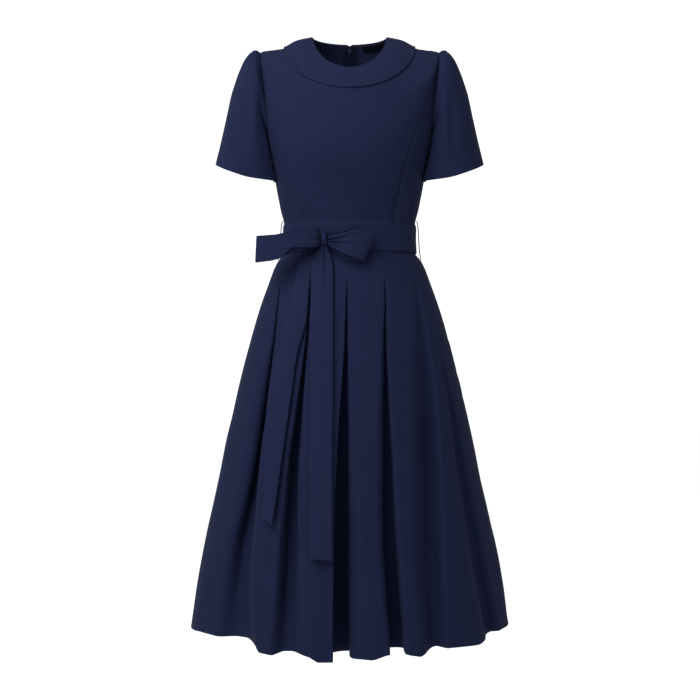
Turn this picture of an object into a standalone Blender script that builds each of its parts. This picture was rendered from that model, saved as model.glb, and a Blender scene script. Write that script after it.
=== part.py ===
"""A navy a-line dress, hollow and filled out as it is worn.

Axes: +Z up, the front looks to -Y, +X is the right-hand side seen from the front. The origin lies
between the two highest points of the neck, where the shoulders carry the dress.
Every table below is in millimetres and degrees. Angles run round the body: 0 at the centre front,
90 at the +X side, 180 at the centre back.
"""
import math

import bmesh
import bpy
import numpy as np

MM = 0.001

# Cloth walls and the gaps between sewn pieces.
CLOTH = 1.5
DOUBLED_CLOTH = 2.0
BELT_CLOTH = 1.8
TAPE_CLOTH = 1.0
SEAM_GAP = 0.3
LAID_GAP = 0.6
SLEEVE_GAP = 1.0
BELT_EASE = 0.7
INSIDE_EASE = 0.8

# Levels of the dress.
WAIST_Z = -375.0
BELT_FOOT_Z = -401.0
RELEASE_Z = -455.0
HEM_Z = -1088.0
ZIP_FOOT_Z = -577.0

# The bodice as rings from the waist seam to the neck. "share" is the place between the two. Each
# ring is highest at its side and falls to its front and back points.
BODICE_RINGS = [
    # name,            share, half, side_z, front_y, front_z, back_y, back_z, roundness
    ("waist seam",      0.00, 120.5, -375.0,  -93.0, -375.0,  92.0, -375.0, 2.15),
    ("belt top",        0.08, 121.0, -349.0,  -93.5, -349.0,  92.0, -349.0, 2.15),
    ("low rib",         0.18, 127.5, -320.0,  -97.5, -317.0,  93.0, -320.0, 2.20),
    ("rib",             0.29, 134.0, -287.0, -106.0, -281.0,  97.0, -287.0, 2.30),
    ("under bust",      0.38, 138.5, -262.0, -114.0, -254.0, 102.0, -261.0, 2.40),
    ("bust",            0.47, 144.5, -229.0, -120.0, -226.0, 107.0, -229.0, 2.50),
    ("underarm",        0.55, 150.0, -200.0, -121.0, -205.0, 110.0, -201.0, 2.60),
    ("mid armhole",     0.68, 160.0, -112.0, -118.0, -174.0, 112.0, -146.0, 2.60),
    ("shoulder tip",    0.80, 164.5,  -29.5, -113.0, -146.0, 106.0,  -96.0, 2.40),
    ("collar edge",     0.90, 121.0,  -20.5, -104.0, -112.0,  90.0,  -46.0, 2.10),
    ("collar middle",   0.95,  96.0,   -8.2,  -92.0,  -91.2,  73.5,  -23.5, 2.05),
    ("neck",            1.00,  68.0,   -2.2,  -77.0,  -71.5,  54.0,   -4.0, 2.00),
]
UNDERARM_SHARE = 0.55
TIP_SHARE = 0.80
COLLAR_SHARE = 0.90
SHOULDER_SOFTNESS = 0.12

# The princess seam on the front, from the waist to its notch on the armhole.
PRINCESS_SEAM = [
    # share, angle
    (0.000, 41.0),
    (0.200, 40.4),
    (0.335, 40.9),
    (0.475, 43.0),
    (0.600, 45.9),
    (0.670, 49.4),
    (0.710, 53.8),
    (0.745, 69.3),
]
NOTCH_SHARE = 0.745
ARMHOLE_FRONT = 25.0
ARMHOLE_BACK = 27.0

LOW_ROWS = 10
CENTRE_COLUMNS = 17
SIDE_COLUMNS = 7
BACK_COLUMNS = 9

# The round collar: cut in one, open at the centre back with rounded corners.
COLLAR_ROWS = 6
COLLAR_SPLIT = 3.6
COLLAR_CORNER = 14.0

# The sleeve as rings from the armhole seam to the hem, given at +X. "fall" lowers the front of a
# ring and "lift" raises its back, "lean" brings its sides towards the bodice low down, and
# "gather" is the depth of the gathers at the sleeve head.
SLEEVE_RINGS = [
    # outer_x, outer_z, inner_x, inner_z, front_y, back_y, fall, lift, lean, gather
    (174.5,  -26.0, 151.6, -206.0, -58.0, 61.0,  0.0,  0.0,  0.0, 2.0),
    (184.0,  -29.5, 150.4, -212.0, -61.0, 64.0,  0.5,  0.5,  1.0, 2.6),
    (193.0,  -39.0, 148.9, -219.0, -63.0, 66.0,  1.0,  1.0,  3.8, 2.2),
    (204.0,  -62.0, 146.8, -227.0, -64.0, 67.0,  2.5,  2.0,  7.0, 1.0),
    (217.5, -104.0, 144.3, -239.0, -64.0, 67.0,  5.0,  4.0,  9.8, 0.0),
    (227.0, -146.0, 142.2, -249.0, -64.0, 67.0,  7.5,  5.5, 12.5, 0.0),
    (236.5, -188.0, 140.5, -258.0, -63.0, 66.0, 10.0,  7.0, 15.6, 0.0),
    (247.5, -235.0, 139.1, -267.5, -62.0, 64.0, 12.0,  8.5, 18.8, 0.0),
]
BACK_LEAN = 0.45
GATHER_SPAN = 60.0
GATHER_COUNT = 7
UNDERARM_STEPS = 24
SLEEVE_CLEAR_ANGLE = 1.0
SLEEVE_CLEAR_SHARE = 0.003

# The skirt's outline, without its pleats.
SKIRT_SECTIONS = [
    # z,     half, front_y, back_y, roundness
    (-375.0,  120.5,  -93.0,  92.0, 2.15),
    (-401.0,  121.5,  -94.5,  93.5, 2.15),
    (-412.5,  130.5,  -97.5, 100.0, 2.15),
    (-427.0,  138.5, -102.0, 105.0, 2.12),
    (-455.0,  149.0, -111.0, 113.0, 2.10),
    (-500.0,  165.0, -125.0, 124.0, 2.10),
    (-577.0,  187.0, -145.0, 142.0, 2.10),
    (-645.0,  204.0, -162.0, 158.0, 2.08),
    (-730.0,  223.0, -183.0, 178.0, 2.06),
    (-820.0,  240.5, -204.0, 198.0, 2.05),
    (-920.0,  262.0, -226.0, 219.0, 2.05),
    (-1010.0, 278.0, -241.0, 234.0, 2.05),
    (-1088.0, 288.5, -251.0, 244.0, 2.05),
]

# How far the hem hangs below its level, round the body; the panels hang a little unevenly.
HEM_DROP = [
    # angle, drop
    (-180.0,  5.0),
    (-120.0,  2.0),
    (-84.0,  -5.0),
    (-64.0,  -9.0),
    (-39.0,  -8.5),
    (-34.0,  -2.5),
    (-32.4,   7.0),
    (-27.0,  10.0),
    (-24.0,   6.5),
    (-17.0,   4.5),
    (-13.0,   9.5),
    (-11.0,  17.0),
    (-6.0,   16.5),
    (4.0,    11.5),
    (8.0,    13.0),
    (12.6,    5.5),
    (19.0,    6.0),
    (24.5,   11.0),
    (32.0,    1.0),
    (43.0,    2.0),
    (51.0,    4.5),
    (60.0,   -3.0),
    (68.0,   -8.0),
    (88.0,  -11.0),
    (125.0,   0.0),
    (180.0,   5.0),
]

# The heights at which the skirt's wall has a row of points.
SKIRT_LEVELS = [
    -375.0, -401.0, -412.5, -430.0, -455.0, -470.0, -500.0, -577.0, -670.0, -765.0, -860.0, -945.0, -1022.0,
    -1088.0,
]

# The pleats. Each one is an inward fold between two rolled edges: it leaves the outline at its
# start and sinks in towards the hem. The outer ones open into soft valleys lower down, and the side
# ones are soft folds that nothing stitches. Angles, mouths, depths, the widths of the left and right
# rolls and the crispness hold at PLEAT_PLACES, the shares of the way from the start to the hem.
PLEAT_PLACES = (0.0, 0.2, 0.5, 0.75, 1.0)
PLEATS = [
    # name, start_z, and at the PLEAT_PLACES from there to the hem: angles, mouths,
    #     depths, left rolls, right rolls, crispness
    ("back outer left", -452.0, (-134, -136.5, -139.5, -141.5, -143), (1.5, 6, 18, 26, 30),
     (0, 22, 42, 54, 62), (3, 8, 15, 21, 24), (1.8, 2, 2.6, 3.4, 4), (1, 1, 1, 1, 1)),
    ("back side left", -550.0, (-116, -117, -117.7, -118.4, -119), (6, 10, 19, 24, 26),
     (0, 9, 18, 21, 20), (5, 12, 20, 24, 26), (4, 8, 12, 15, 16), (0.4, 0.4, 0.4, 0.3, 0.2)),
    ("front outer left", -450.0, (-54.8, -46.2, -44.8, -45, -41.6), (1.5, 5, 15, 20, 34),
     (0, 22, 50, 42, 32), (4, 12, 36, 40, 40), (1.7, 3, 6, 22, 32), (1, 1, 1, 0.4, 0)),
    ("front inner left", -452.0, (-26.5, -24, -24.8, -23.2, -21.9), (1, 4.8, 16.5, 22, 28),
     (0, 22, 44, 40, 28), (2.5, 2.5, 5, 12, 16), (1.5, 2.5, 8, 14, 20), (1, 1, 1, 0.6, 0.2)),
    ("front centre", -448.0, (-1.6, -2, -3, -3.2, -3), (1, 6.2, 21, 25, 27),
     (0, 23, 58, 78, 88), (1.5, 1.5, 1.5, 1.5, 2.5), (1.5, 3, 10, 30, 36), (1, 1, 1, 1, 1)),
    ("front inner right", -446.0, (25.2, 19.8, 17, 15.8, 16.6), (1, 4.7, 15, 23, 27),
     (0, 22, 46, 58, 66), (2.5, 8, 16, 14, 8), (1.5, 2, 6, 9, 9), (1, 1, 1, 1, 1)),
    ("front outer right", -446.0, (51.8, 46.2, 39.3, 34.2, 31.2), (2.5, 6, 12, 11, 10),
     (0, 13, 31, 32, 28), (7, 34, 42, 42, 30), (3, 10, 13, 14, 18), (0.4, 0.15, 0, 0, 0)),
    ("front side right", -560.0, (57, 59.4, 58.7, 58.9, 61.9), (3, 8, 19, 21, 24),
     (0, 9, 18, 22, 24), (3, 15, 22, 28, 34), (3, 8, 12, 16, 18), (0.3, 0.3, 0.3, 0.3, 0.3)),
    ("back side right", -560.0, (115, 116, 116.7, 117.4, 118), (6, 10, 19, 24, 26),
     (0, 11, 21, 25, 26), (5, 10, 16, 20, 22), (4, 8, 12, 15, 16), (0.5, 0.5, 0.4, 0.4, 0.4)),
    ("back outer right", -452.0, (133, 136, 139.5, 142, 144), (1.5, 6, 17, 25, 29),
     (0, 22, 42, 55, 64), (3, 8, 14, 18, 20), (1.8, 2.5, 3.2, 3.7, 4), (1, 1, 1, 1, 1)),
    ("back inner right", -448.0, (159, 160.5, 162.3, 164, 165.5), (1.5, 5.5, 16, 23, 27),
     (0, 23, 44, 58, 68), (3, 8, 16, 20, 22), (1.8, 2, 2.3, 2.5, 2.5), (1, 1, 1, 1, 1)),
    ("back inner left", -448.0, (-158.5, -160, -162, -163.6, -165), (1.5, 5.5, 17, 27, 34),
     (0, 23, 44, 46, 32), (3, 6, 10, 16, 22), (1.8, 2, 3, 10, 20), (1, 1, 1, 0.8, 0.3)),
]
ROLL_MIDDLE = 0.3
ROLL_DEPTH = 1.6
ROLLED_SHARE = 0.5
WALL_FOOT = 0.88
FOOT_FLARE = 1.8
FLARED_DEPTH = 45.0
PLEAT_COLUMNS = 9
FRONT_TURN = 1.4
BACK_TURN = 0.6
OPENED_DEPTH = 8.0
VALLEY_SIDE = 0.3
PANEL_BULGE = 7.0
WIDE_PANEL = 110.0
PANEL_STEP = 15.0

BELT_COLUMNS = 64
BELT_TOP_SHARE = 0.08

# The bow. Each loop is a strip of belt cloth that leaves the knot in front, turns, and comes back
# behind: a row for each place along it. "slant" carries the strip's lower edge towards -X.
KNOT_CENTRE = (-46.0, -100.2, -379.5)
KNOT_SIZE = (12.0, 17.0, 27.0)
KNOT_ROUNDING = 3.2
BOW_LOOP_LEFT = [
    # x,      y,       z,     height, slant
    (-52.9, -104.0, -379.5, 26.0, 0.0),
    (-57.5, -111.5, -380.0, 31.5, 0.0),
    (-70.0, -117.5, -380.5, 33.5, 0.0),
    (-88.0, -119.5, -380.5, 33.0, 0.0),
    (-102.0, -119.5, -381.5, 32.5, 0.0),
    (-109.0, -118.5, -386.0, 35.0, 0.0),
    (-117.0, -117.0, -392.5, 42.0, 0.0),
    (-128.0, -115.0, -396.0, 44.5, -0.5),
    (-142.0, -112.0, -397.5, 46.0, -1.0),
    (-158.0, -108.0, -399.0, 47.0, -1.5),
    (-165.5, -103.0, -399.5, 47.5, -2.0),
    (-165.5, -98.5, -399.5, 47.5, -2.0),
    (-157.0, -95.5, -398.5, 47.0, -1.5),
    (-138.0, -96.0, -396.5, 46.0, -1.0),
    (-112.0, -98.0, -389.0, 41.0, 0.0),
    (-84.0, -98.5, -381.0, 32.0, 0.0),
    (-62.0, -97.5, -379.5, 27.0, 0.0),
    (-52.9, -96.5, -379.0, 22.0, 0.0),
]
BOW_LOOP_RIGHT = [
    # x,      y,       z,     height, slant
    (-39.1, -104.0, -384.5, 12.0, 0.0),
    (-31.0, -110.5, -387.0, 20.0, 0.0),
    (-12.0, -117.5, -389.0, 34.0, -2.0),
    (8.0, -120.5, -390.5, 45.0, -6.0),
    (24.0, -119.5, -393.0, 48.0, -11.0),
    (36.0, -117.0, -396.0, 47.0, -16.0),
    (43.0, -113.5, -398.5, 46.0, -19.0),
    (45.5, -109.3, -399.0, 46.0, -21.0),
    (41.0, -105.8, -395.0, 54.0, -20.0),
    (30.0, -104.6, -391.5, 62.0, -14.0),
    (15.0, -104.5, -391.5, 62.0, -8.0),
    (-4.0, -104.0, -391.5, 53.0, -4.0),
    (-22.0, -101.5, -387.0, 37.0, 0.0),
    (-32.0, -99.0, -383.0, 26.0, 0.0),
    (-39.1, -97.0, -380.0, 20.0, 0.0),
]
STRIP_ROWS = 5

# The belt's hanging ends, a row for each place down them. Each edge is given across and down, with
# how far it stands out from the skirt's outline; "bow" curves the strip between its edges.
BELT_TAIL_LEFT = [
    # left_x, left_z, right_x, right_z, left_out, right_out, bow
    (-52.9, -372.5, -52.9, -390.0, 3.7, 3.7, 0.0),
    (-64.0, -376.0, -56.5, -396.0, 3.8, 4.0, 0.4),
    (-77.0, -385.0, -61.0, -402.0, 4.4, 5.2, 0.8),
    (-85.0, -398.0, -64.5, -408.0, 5.0, 5.8, 1.5),
    (-88.5, -415.0, -67.0, -420.0, 5.0, 5.5, 2.0),
    (-98.0, -455.0, -71.0, -456.0, 5.0, 5.0, 2.0),
    (-113.0, -520.0, -76.0, -520.0, 6.0, 5.5, 2.5),
    (-130.0, -590.0, -93.0, -590.0, 6.5, 6.5, 2.5),
    (-142.0, -663.0, -103.0, -663.0, 7.0, 8.0, 3.0),
    (-149.0, -756.0, -116.0, -756.0, 7.0, 9.0, 3.0),
    (-149.5, -830.0, -126.0, -832.0, 7.0, 11.0, 3.0),
    (-151.0, -867.0, -133.5, -881.0, 7.0, 12.0, 3.0),
]
BELT_TAIL_RIGHT = [
    # left_x, left_z, right_x, right_z, left_out, right_out, bow
    (-51.0, -393.3, -41.0, -393.3, 14.5, 14.0, 0.5),
    (-57.0, -402.0, -38.0, -402.0, 13.5, 13.0, 2.0),
    (-65.0, -413.0, -33.5, -413.0, 9.5, 9.0, 2.0),
    (-68.5, -427.0, -30.5, -427.0, 8.6, 7.0, 1.5),
    (-69.0, -455.0, -29.5, -455.0, 8.0, 6.5, 1.0),
    (-69.0, -530.0, -29.0, -530.0, 7.4, 7.0, 1.0),
    (-69.0, -620.0, -29.0, -620.0, 7.5, 7.5, 1.5),
    (-69.0, -710.0, -29.5, -710.0, 8.5, 8.5, 2.0),
    (-68.5, -800.0, -29.5, -800.0, 9.5, 9.5, 2.0),
    (-68.5, -880.0, -29.5, -880.0, 10.5, 10.5, 2.0),
    (-68.5, -932.0, -29.5, -935.0, 11.0, 11.0, 2.0),
]

# Thread carriers at the side seams, as seen at +X in the plane of the side seam.
CARRIER_RADIUS = 0.9
CARRIER_SIDES = 8
CARRIER_PATH = [
    # x, z
    (123.6, -341.0),
    (125.3, -344.0),
    (126.4, -349.5),
    (127.2, -360.0),
    (127.8, -374.0),
    (128.6, -388.0),
    (129.8, -400.0),
    (131.2, -408.0),
    (132.4, -412.6),
]

# Label inside the back of the neck.
LABEL_CLOTH = 1.0
LABEL_ANGLES = (107.0, 161.0)
LABEL_SHARES = (0.970, 0.996)
LABEL_COLUMNS = 9

# Concealed zip at the centre back.
TAPE_WIDTH = 12.5
ZIP_SHARE = 0.985
ZIP_NOTCH_HALF = 1.1
ZIP_NOTCH_SHARE = 0.95
SLIDER_WIDTH = 6.4
SLIDER_LENGTH = 9.0
SLIDER_DEPTH = 2.2
SLIDER_EASE = 0.4
CROWN_WIDTH = 1.3
CROWN_LENGTH = 4.0
PULL_AXIS_HEIGHT = 2.6
PULL_HOLE_RADIUS = 1.0
CROWN_TOP = 1.9
PULL_THICKNESS = 1.0
PULL_WIDTH = 5.2
PULL_LENGTH = 20.0
PULL_WINDOW_WIDTH = 2.2
PULL_WINDOW_LENGTH = 3.0

NAVY = (0.021, 0.026, 0.068)
NAVY_BELT = (0.023, 0.028, 0.072)
LABEL_BLACK = (0.008, 0.008, 0.010)
TAPE_NAVY = (0.015, 0.018, 0.048)
METAL_NAVY = (0.020, 0.024, 0.055)


def smooth_table(places, values, at):
    """Monotone cubic through a table, so nothing overshoots between its rows."""
    places = np.asarray(places, float)
    values = np.asarray(values, float)
    at = np.clip(np.asarray(at, float), places[0], places[-1])
    spans = np.diff(places)
    rises = np.diff(values) / spans
    slopes = np.zeros_like(values)
    for i in range(1, len(values) - 1):
        if rises[i - 1] * rises[i] > 0:
            before = 2 * spans[i] + spans[i - 1]
            after = spans[i] + 2 * spans[i - 1]
            slopes[i] = (before + after) / (before / rises[i - 1] + after / rises[i])
    slopes[0] = rises[0]
    slopes[-1] = rises[-1]
    k = np.clip(np.searchsorted(places, at, side="right") - 1, 0, len(spans) - 1)
    t = (at - places[k]) / spans[k]
    return (
        values[k] * (1 + 2 * t) * (1 - t) ** 2
        + slopes[k] * spans[k] * t * (1 - t) ** 2
        + values[k + 1] * t * t * (3 - 2 * t)
        + slopes[k + 1] * spans[k] * t * t * (t - 1)
    )


def columns(table, first=0):
    """The number columns of a table whose rows may open with a name."""
    return [np.array([row[i] for row in table], float) for i in range(first, len(table[0]))]


def ring_shape(angle, roundness):
    """Unit ring: across and forward parts at an angle round the body."""
    turn = np.radians(angle)
    across = np.sin(turn)
    forward = np.cos(turn)
    reach = (np.abs(across) ** roundness + np.abs(forward) ** roundness) ** (-1 / roundness)
    return across * reach, forward * reach


def bodice_point(angle, share):
    """A point of the bodice's outer face."""
    places, *shape = columns(BODICE_RINGS, 1)
    half, side_z, front_y, front_z, back_y, back_z, roundness = [
        smooth_table(places, values, share) for values in shape
    ]
    across, forward = ring_shape(angle, roundness)
    ahead = forward >= 0
    depth = np.where(ahead, front_y, -back_y)
    low_z = np.where(ahead, front_z, back_z)
    soft = SHOULDER_SOFTNESS
    reach = np.hypot(forward, soft) - soft
    fall = reach / (math.hypot(1, soft) - soft)
    return np.stack([across * half, forward * depth, side_z + (low_z - side_z) * fall], -1)


def bodice_normal(angle, share):
    """Unit vector out of the bodice."""
    turn_step = 0.5
    share_step = 0.004
    low = np.clip(share - share_step, 0, 1)
    high = np.clip(share + share_step, 0, 1)
    round_way = bodice_point(angle + turn_step, share) - bodice_point(angle - turn_step, share)
    up_way = bodice_point(angle, high) - bodice_point(angle, low)
    return unit(np.cross(round_way, up_way))


def unit(vectors):
    return vectors / np.linalg.norm(vectors, axis=-1, keepdims=True)


def steps_between(points, axis, around):
    """Unit steps to the next and from the previous point along one way of a grid."""
    ahead = np.roll(points, -1, axis) - points
    behind = points - np.roll(points, 1, axis)
    if not around:
        first = [slice(None)] * 3
        last = [slice(None)] * 3
        first[axis] = 0
        last[axis] = -1
        behind[tuple(first)] = ahead[tuple(first)]
        ahead[tuple(last)] = behind[tuple(last)]
    return unit(ahead), unit(behind)


def grid_inward(points, thickness, around):
    """Vectors from a grid's outer face to its inner face, longer where the grid bends sharply."""
    ahead, behind = steps_between(points, 1, around)
    above, below = steps_between(points, 0, False)
    round_way = ahead + behind
    bend = np.linalg.norm(round_way, axis=-1, keepdims=True) / 2
    normals = unit(np.cross(unit(round_way), unit(above + below)))
    return -normals * thickness / np.clip(bend, 0.72, 1.0)


def make_material(name, colour, roughness, metallic=0.0):
    material = bpy.data.materials.new(name)
    material.use_nodes = True
    shader = material.node_tree.nodes["Principled BSDF"]
    shader.inputs["Base Color"].default_value = (*colour, 1.0)
    shader.inputs["Roughness"].default_value = roughness
    shader.inputs["Metallic"].default_value = metallic
    material.diffuse_color = (*colour, 1.0)
    return material


def add_object(name, mesh, colour, roughness=0.8, metallic=0.0):
    piece = bpy.data.objects.new(name, mesh)
    bpy.context.scene.collection.objects.link(piece)
    mesh.materials.append(make_material(name, colour, roughness, metallic))
    return piece


def add_wall(name, outer, inward, colour, around=False, roughness=0.8):
    """A closed cloth wall between an outer grid of points and the same grid moved inward."""
    rows, cols = outer.shape[:2]
    points = np.concatenate([outer.reshape(-1, 3), (outer + inward).reshape(-1, 3)]) * MM
    inner = rows * cols
    faces = []
    last = cols if around else cols - 1
    for row in range(rows - 1):
        for col in range(last):
            beside = (col + 1) % cols
            a = row * cols + col
            b = row * cols + beside
            c = b + cols
            d = a + cols
            if np.linalg.norm(points[a] - points[c]) < np.linalg.norm(points[b] - points[d]):
                halves = [(a, b, c), (a, c, d)]
            else:
                halves = [(a, b, d), (b, c, d)]
            faces += halves
            faces += [(inner + w, inner + v, inner + u) for u, v, w in halves]
    for col in range(last):
        beside = (col + 1) % cols
        top = (rows - 1) * cols
        faces.append((beside, col, inner + col, inner + beside))
        faces.append((top + col, top + beside, inner + top + beside, inner + top + col))
    if not around:
        for row in range(rows - 1):
            a = row * cols
            b = a + cols
            faces.append((a, b, inner + b, inner + a))
            faces.append((b + cols - 1, a + cols - 1, inner + a + cols - 1, inner + b + cols - 1))
    mesh = bpy.data.meshes.new(name)
    mesh.from_pydata([tuple(point) for point in points], [], faces)
    shell = bmesh.new()
    shell.from_mesh(mesh)
    bmesh.ops.triangulate(shell, faces=shell.faces[:])
    bmesh.ops.recalc_face_normals(shell, faces=shell.faces[:])
    shell.to_mesh(mesh)
    shell.free()
    mesh.shade_smooth()
    mesh.set_sharp_from_angle(angle=math.radians(50))
    return add_object(name, mesh, colour, roughness)


def inset_sides(points, first=True, last=True, amount=SEAM_GAP / 2):
    """Draw a grid's side edges back from their seams."""
    moved = points.copy()
    if first:
        moved[:, 0] += unit(points[:, 1] - points[:, 0]) * amount
    if last:
        moved[:, -1] += unit(points[:, -2] - points[:, -1]) * amount
    return moved


def flip(points):
    """Mirror points from +X to -X."""
    return points * np.array([-1.0, 1.0, 1.0])


# Bodice.

def armhole_angle(share, reach):
    """How far the armhole's edge lies from the side at a share of the height."""
    middle = (UNDERARM_SHARE + TIP_SHARE) / 2
    half = (TIP_SHARE - UNDERARM_SHARE) / 2
    place = np.clip((share - middle) / half, -1, 1)
    return reach * np.sqrt(1 - place ** 2)


def princess_angle(share):
    shares, angles = columns(PRINCESS_SEAM)
    return smooth_table(shares, angles, share)


def low_shares(top):
    return np.linspace(0, top, LOW_ROWS)


def high_shares():
    """Rows over the shoulder, shared by the bodice and the collar."""
    return np.array([TIP_SHARE, 0.85, COLLAR_SHARE, 0.925, 0.95, 0.975, 1.0])


def bodice_panel(name, angles, shares, mirrored=False, drawn_back=None):
    outer = bodice_point(angles, shares)
    inward = -bodice_normal(angles, shares) * CLOTH
    outer = inset_sides(outer)
    outer[0, :, 2] += SEAM_GAP / 2
    inward[0, :, 2] = 0
    if drawn_back is not None:
        outer[:, -1, 0] = drawn_back
        inward[:, -1, 0] = 0
    if mirrored:
        outer = flip(outer)
        inward = flip(inward)
    add_wall(name, outer, inward, NAVY)


def make_front_centre():
    rows = np.concatenate([low_shares(NOTCH_SHARE), [0.772], high_shares()])
    edge = np.where(rows <= NOTCH_SHARE, princess_angle(rows), 90 - armhole_angle(rows, ARMHOLE_FRONT))
    spread = np.linspace(-1, 1, CENTRE_COLUMNS)
    angles = edge[:, None] * spread[None, :]
    shares = np.repeat(rows[:, None], CENTRE_COLUMNS, 1)
    bodice_panel("bodice_front_centre", angles, shares)


def make_side_fronts():
    middle = (UNDERARM_SHARE + TIP_SHARE) / 2
    half = (TIP_SHARE - UNDERARM_SHARE) / 2
    across = np.linspace(0, 1, SIDE_COLUMNS)
    up = np.linspace(0, 1, LOW_ROWS)
    notch_turn = math.acos((NOTCH_SHARE - middle) / half)
    turns = notch_turn + (math.pi - notch_turn) * across
    top_angle = 90 - ARMHOLE_FRONT * np.sin(turns)
    top_share = middle + half * np.cos(turns)
    shares = up[:, None] * top_share[None, :]
    seam = princess_angle(up * NOTCH_SHARE)
    ruled = seam[:, None] * (1 - across) + 90 * across
    ruled_top = seam[-1] * (1 - across) + 90 * across
    angles = ruled + up[:, None] ** 2 * (top_angle - ruled_top)
    bodice_panel("bodice_side_front_right", angles, shares)
    bodice_panel("bodice_side_front_left", angles, shares, mirrored=True)


def zip_notch(shares):
    """Half of the gap at the centre back: a seam's gap, opening at the top for the slider."""
    opening = np.clip((shares - ZIP_NOTCH_SHARE) / (1 - ZIP_NOTCH_SHARE), 0, 1)
    return SEAM_GAP / 2 + (ZIP_NOTCH_HALF - SEAM_GAP / 2) * np.minimum(1, opening * 1.6)


def back_shares():
    return np.concatenate([low_shares(UNDERARM_SHARE), [0.60, 0.65, 0.70, 0.75], high_shares()])


def make_backs():
    rows = back_shares()
    edge = 90 + armhole_angle(rows, ARMHOLE_BACK)
    edge = np.where((rows <= UNDERARM_SHARE) | (rows >= TIP_SHARE), 90, edge)
    across = np.linspace(0, 1, BACK_COLUMNS)
    angles = edge[:, None] + (180 - edge[:, None]) * across[None, :]
    shares = np.repeat(rows[:, None], BACK_COLUMNS, 1)
    bodice_panel("bodice_back_right", angles, shares, drawn_back=zip_notch(rows))
    bodice_panel("bodice_back_left", angles, shares, mirrored=True, drawn_back=zip_notch(rows))


def make_collar():
    rows = 1 - (1 - COLLAR_SHARE) * np.sin(np.linspace(math.pi / 2, 0, COLLAR_ROWS))
    step = 180 / (CENTRE_COLUMNS - 1)
    held = np.arange(-180 + 2 * step, 180 - 1.5 * step, step)
    down = (1 - rows) / (1 - COLLAR_SHARE)
    split = COLLAR_SPLIT + COLLAR_CORNER * (1 - np.sqrt(1 - np.minimum(down, 1) ** 2))
    half = smooth_table(*columns(BODICE_RINGS, 1)[:2], rows)
    end = 180 - np.degrees(np.arcsin(split / half))
    near_end = (held[-1] + end) / 2
    angles = np.column_stack([-end, -near_end, np.repeat(held[None, :], len(rows), 0), near_end, end])
    shares = np.repeat(rows[:, None], angles.shape[1], 1)
    normals = bodice_normal(angles, shares)
    outer = bodice_point(angles, shares) + normals * (LAID_GAP + DOUBLED_CLOTH)
    add_wall("collar", outer, -normals * DOUBLED_CLOTH, NAVY)


# Sleeves.

def sleeve_turns():
    """Angles round the sleeve, 0 at the shoulder: close together over the gathered head."""
    head = np.linspace(-GATHER_SPAN, GATHER_SPAN, 2 * GATHER_COUNT + 1)
    under = np.linspace(GATHER_SPAN, 360 - GATHER_SPAN, UNDERARM_STEPS + 1)[1:-1]
    return np.radians(np.concatenate([head, under]))


def make_sleeves():
    turns = sleeve_turns()
    up = np.cos(turns)
    ahead = np.sin(turns)
    middle = (UNDERARM_SHARE + TIP_SHARE) / 2
    half = (TIP_SHARE - UNDERARM_SHARE) / 2 + SLEEVE_CLEAR_SHARE
    reach = np.where(ahead > 0, ARMHOLE_FRONT, ARMHOLE_BACK) + SLEEVE_CLEAR_ANGLE
    seam_angle = 90 - reach * ahead
    seam_share = middle + half * up
    seam = bodice_point(seam_angle, seam_share) + bodice_normal(seam_angle, seam_share) * SLEEVE_GAP
    in_head = np.abs(np.angle(np.exp(1j * turns))) <= math.radians(GATHER_SPAN) + 1e-6
    wave = np.where(in_head, 0.5 - 0.5 * np.cos(turns * 180 / GATHER_SPAN * GATHER_COUNT), 0)
    rings = [seam]
    low_side = (2 * np.abs(ahead) * np.clip(-up, 0, 1)) ** 3 * np.where(ahead > 0, 1, BACK_LEAN)
    for outer_x, outer_z, inner_x, inner_z, front_y, back_y, fall, lift, lean, gather in SLEEVE_RINGS:
        centre_x = (outer_x + inner_x) / 2
        centre_z = (outer_z + inner_z) / 2
        swell = 1 - gather * wave / ((outer_z - inner_z) / 2)
        ring_x = centre_x + up * swell * (outer_x - inner_x) / 2 - lean * low_side
        ring_z = centre_z + up * swell * (outer_z - inner_z) / 2
        ring_z = ring_z + np.where(ahead > 0, -fall * ahead, -lift * ahead)
        ring_y = np.where(ahead > 0, front_y * ahead, -back_y * ahead) * swell
        rings.append(np.stack([ring_x, ring_y, ring_z], -1))
    outer = np.array(rings[::-1])
    outward = grid_inward(outer, CLOTH, around=True)
    inward = outward * inward_sign(outer, outward)
    add_wall("sleeve_right", outer, inward, NAVY, around=True)
    add_wall("sleeve_left", flip(outer), flip(inward), NAVY, around=True)


def inward_sign(rings, vectors):
    """1 where the vectors point to their rings' centres, -1 where they point away."""
    to_centre = rings.mean(axis=1, keepdims=True) - rings
    return 1.0 if (to_centre * vectors).sum() > 0 else -1.0


# Skirt.

def skirt_outline(angle, level):
    """A point of the skirt's outline, before its pleats, at a level between waist and hem."""
    places, *shape = columns(SKIRT_SECTIONS[::-1])
    half, front_y, back_y, roundness = [smooth_table(places, values, level) for values in shape]
    across, forward = ring_shape(angle, roundness)
    depth = np.where(forward >= 0, front_y, -back_y)
    drop = np.interp(angle, *columns(HEM_DROP))
    fallen = ((WAIST_Z - level) / (WAIST_Z - HEM_Z)) ** 2
    height = level - drop * fallen
    return np.stack([across * half, forward * depth, height + 0 * across], -1)


def across_outline(angle, level):
    """Speed along the outline in mm a degree, and the unit vector into the skirt."""
    step = 0.5
    way = (skirt_outline(angle + step, level) - skirt_outline(angle - step, level)) / (2 * step)
    speed = np.linalg.norm(way)
    return speed, np.array([-way[1], way[0], 0.0]) / np.linalg.norm(way[:2])


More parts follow.
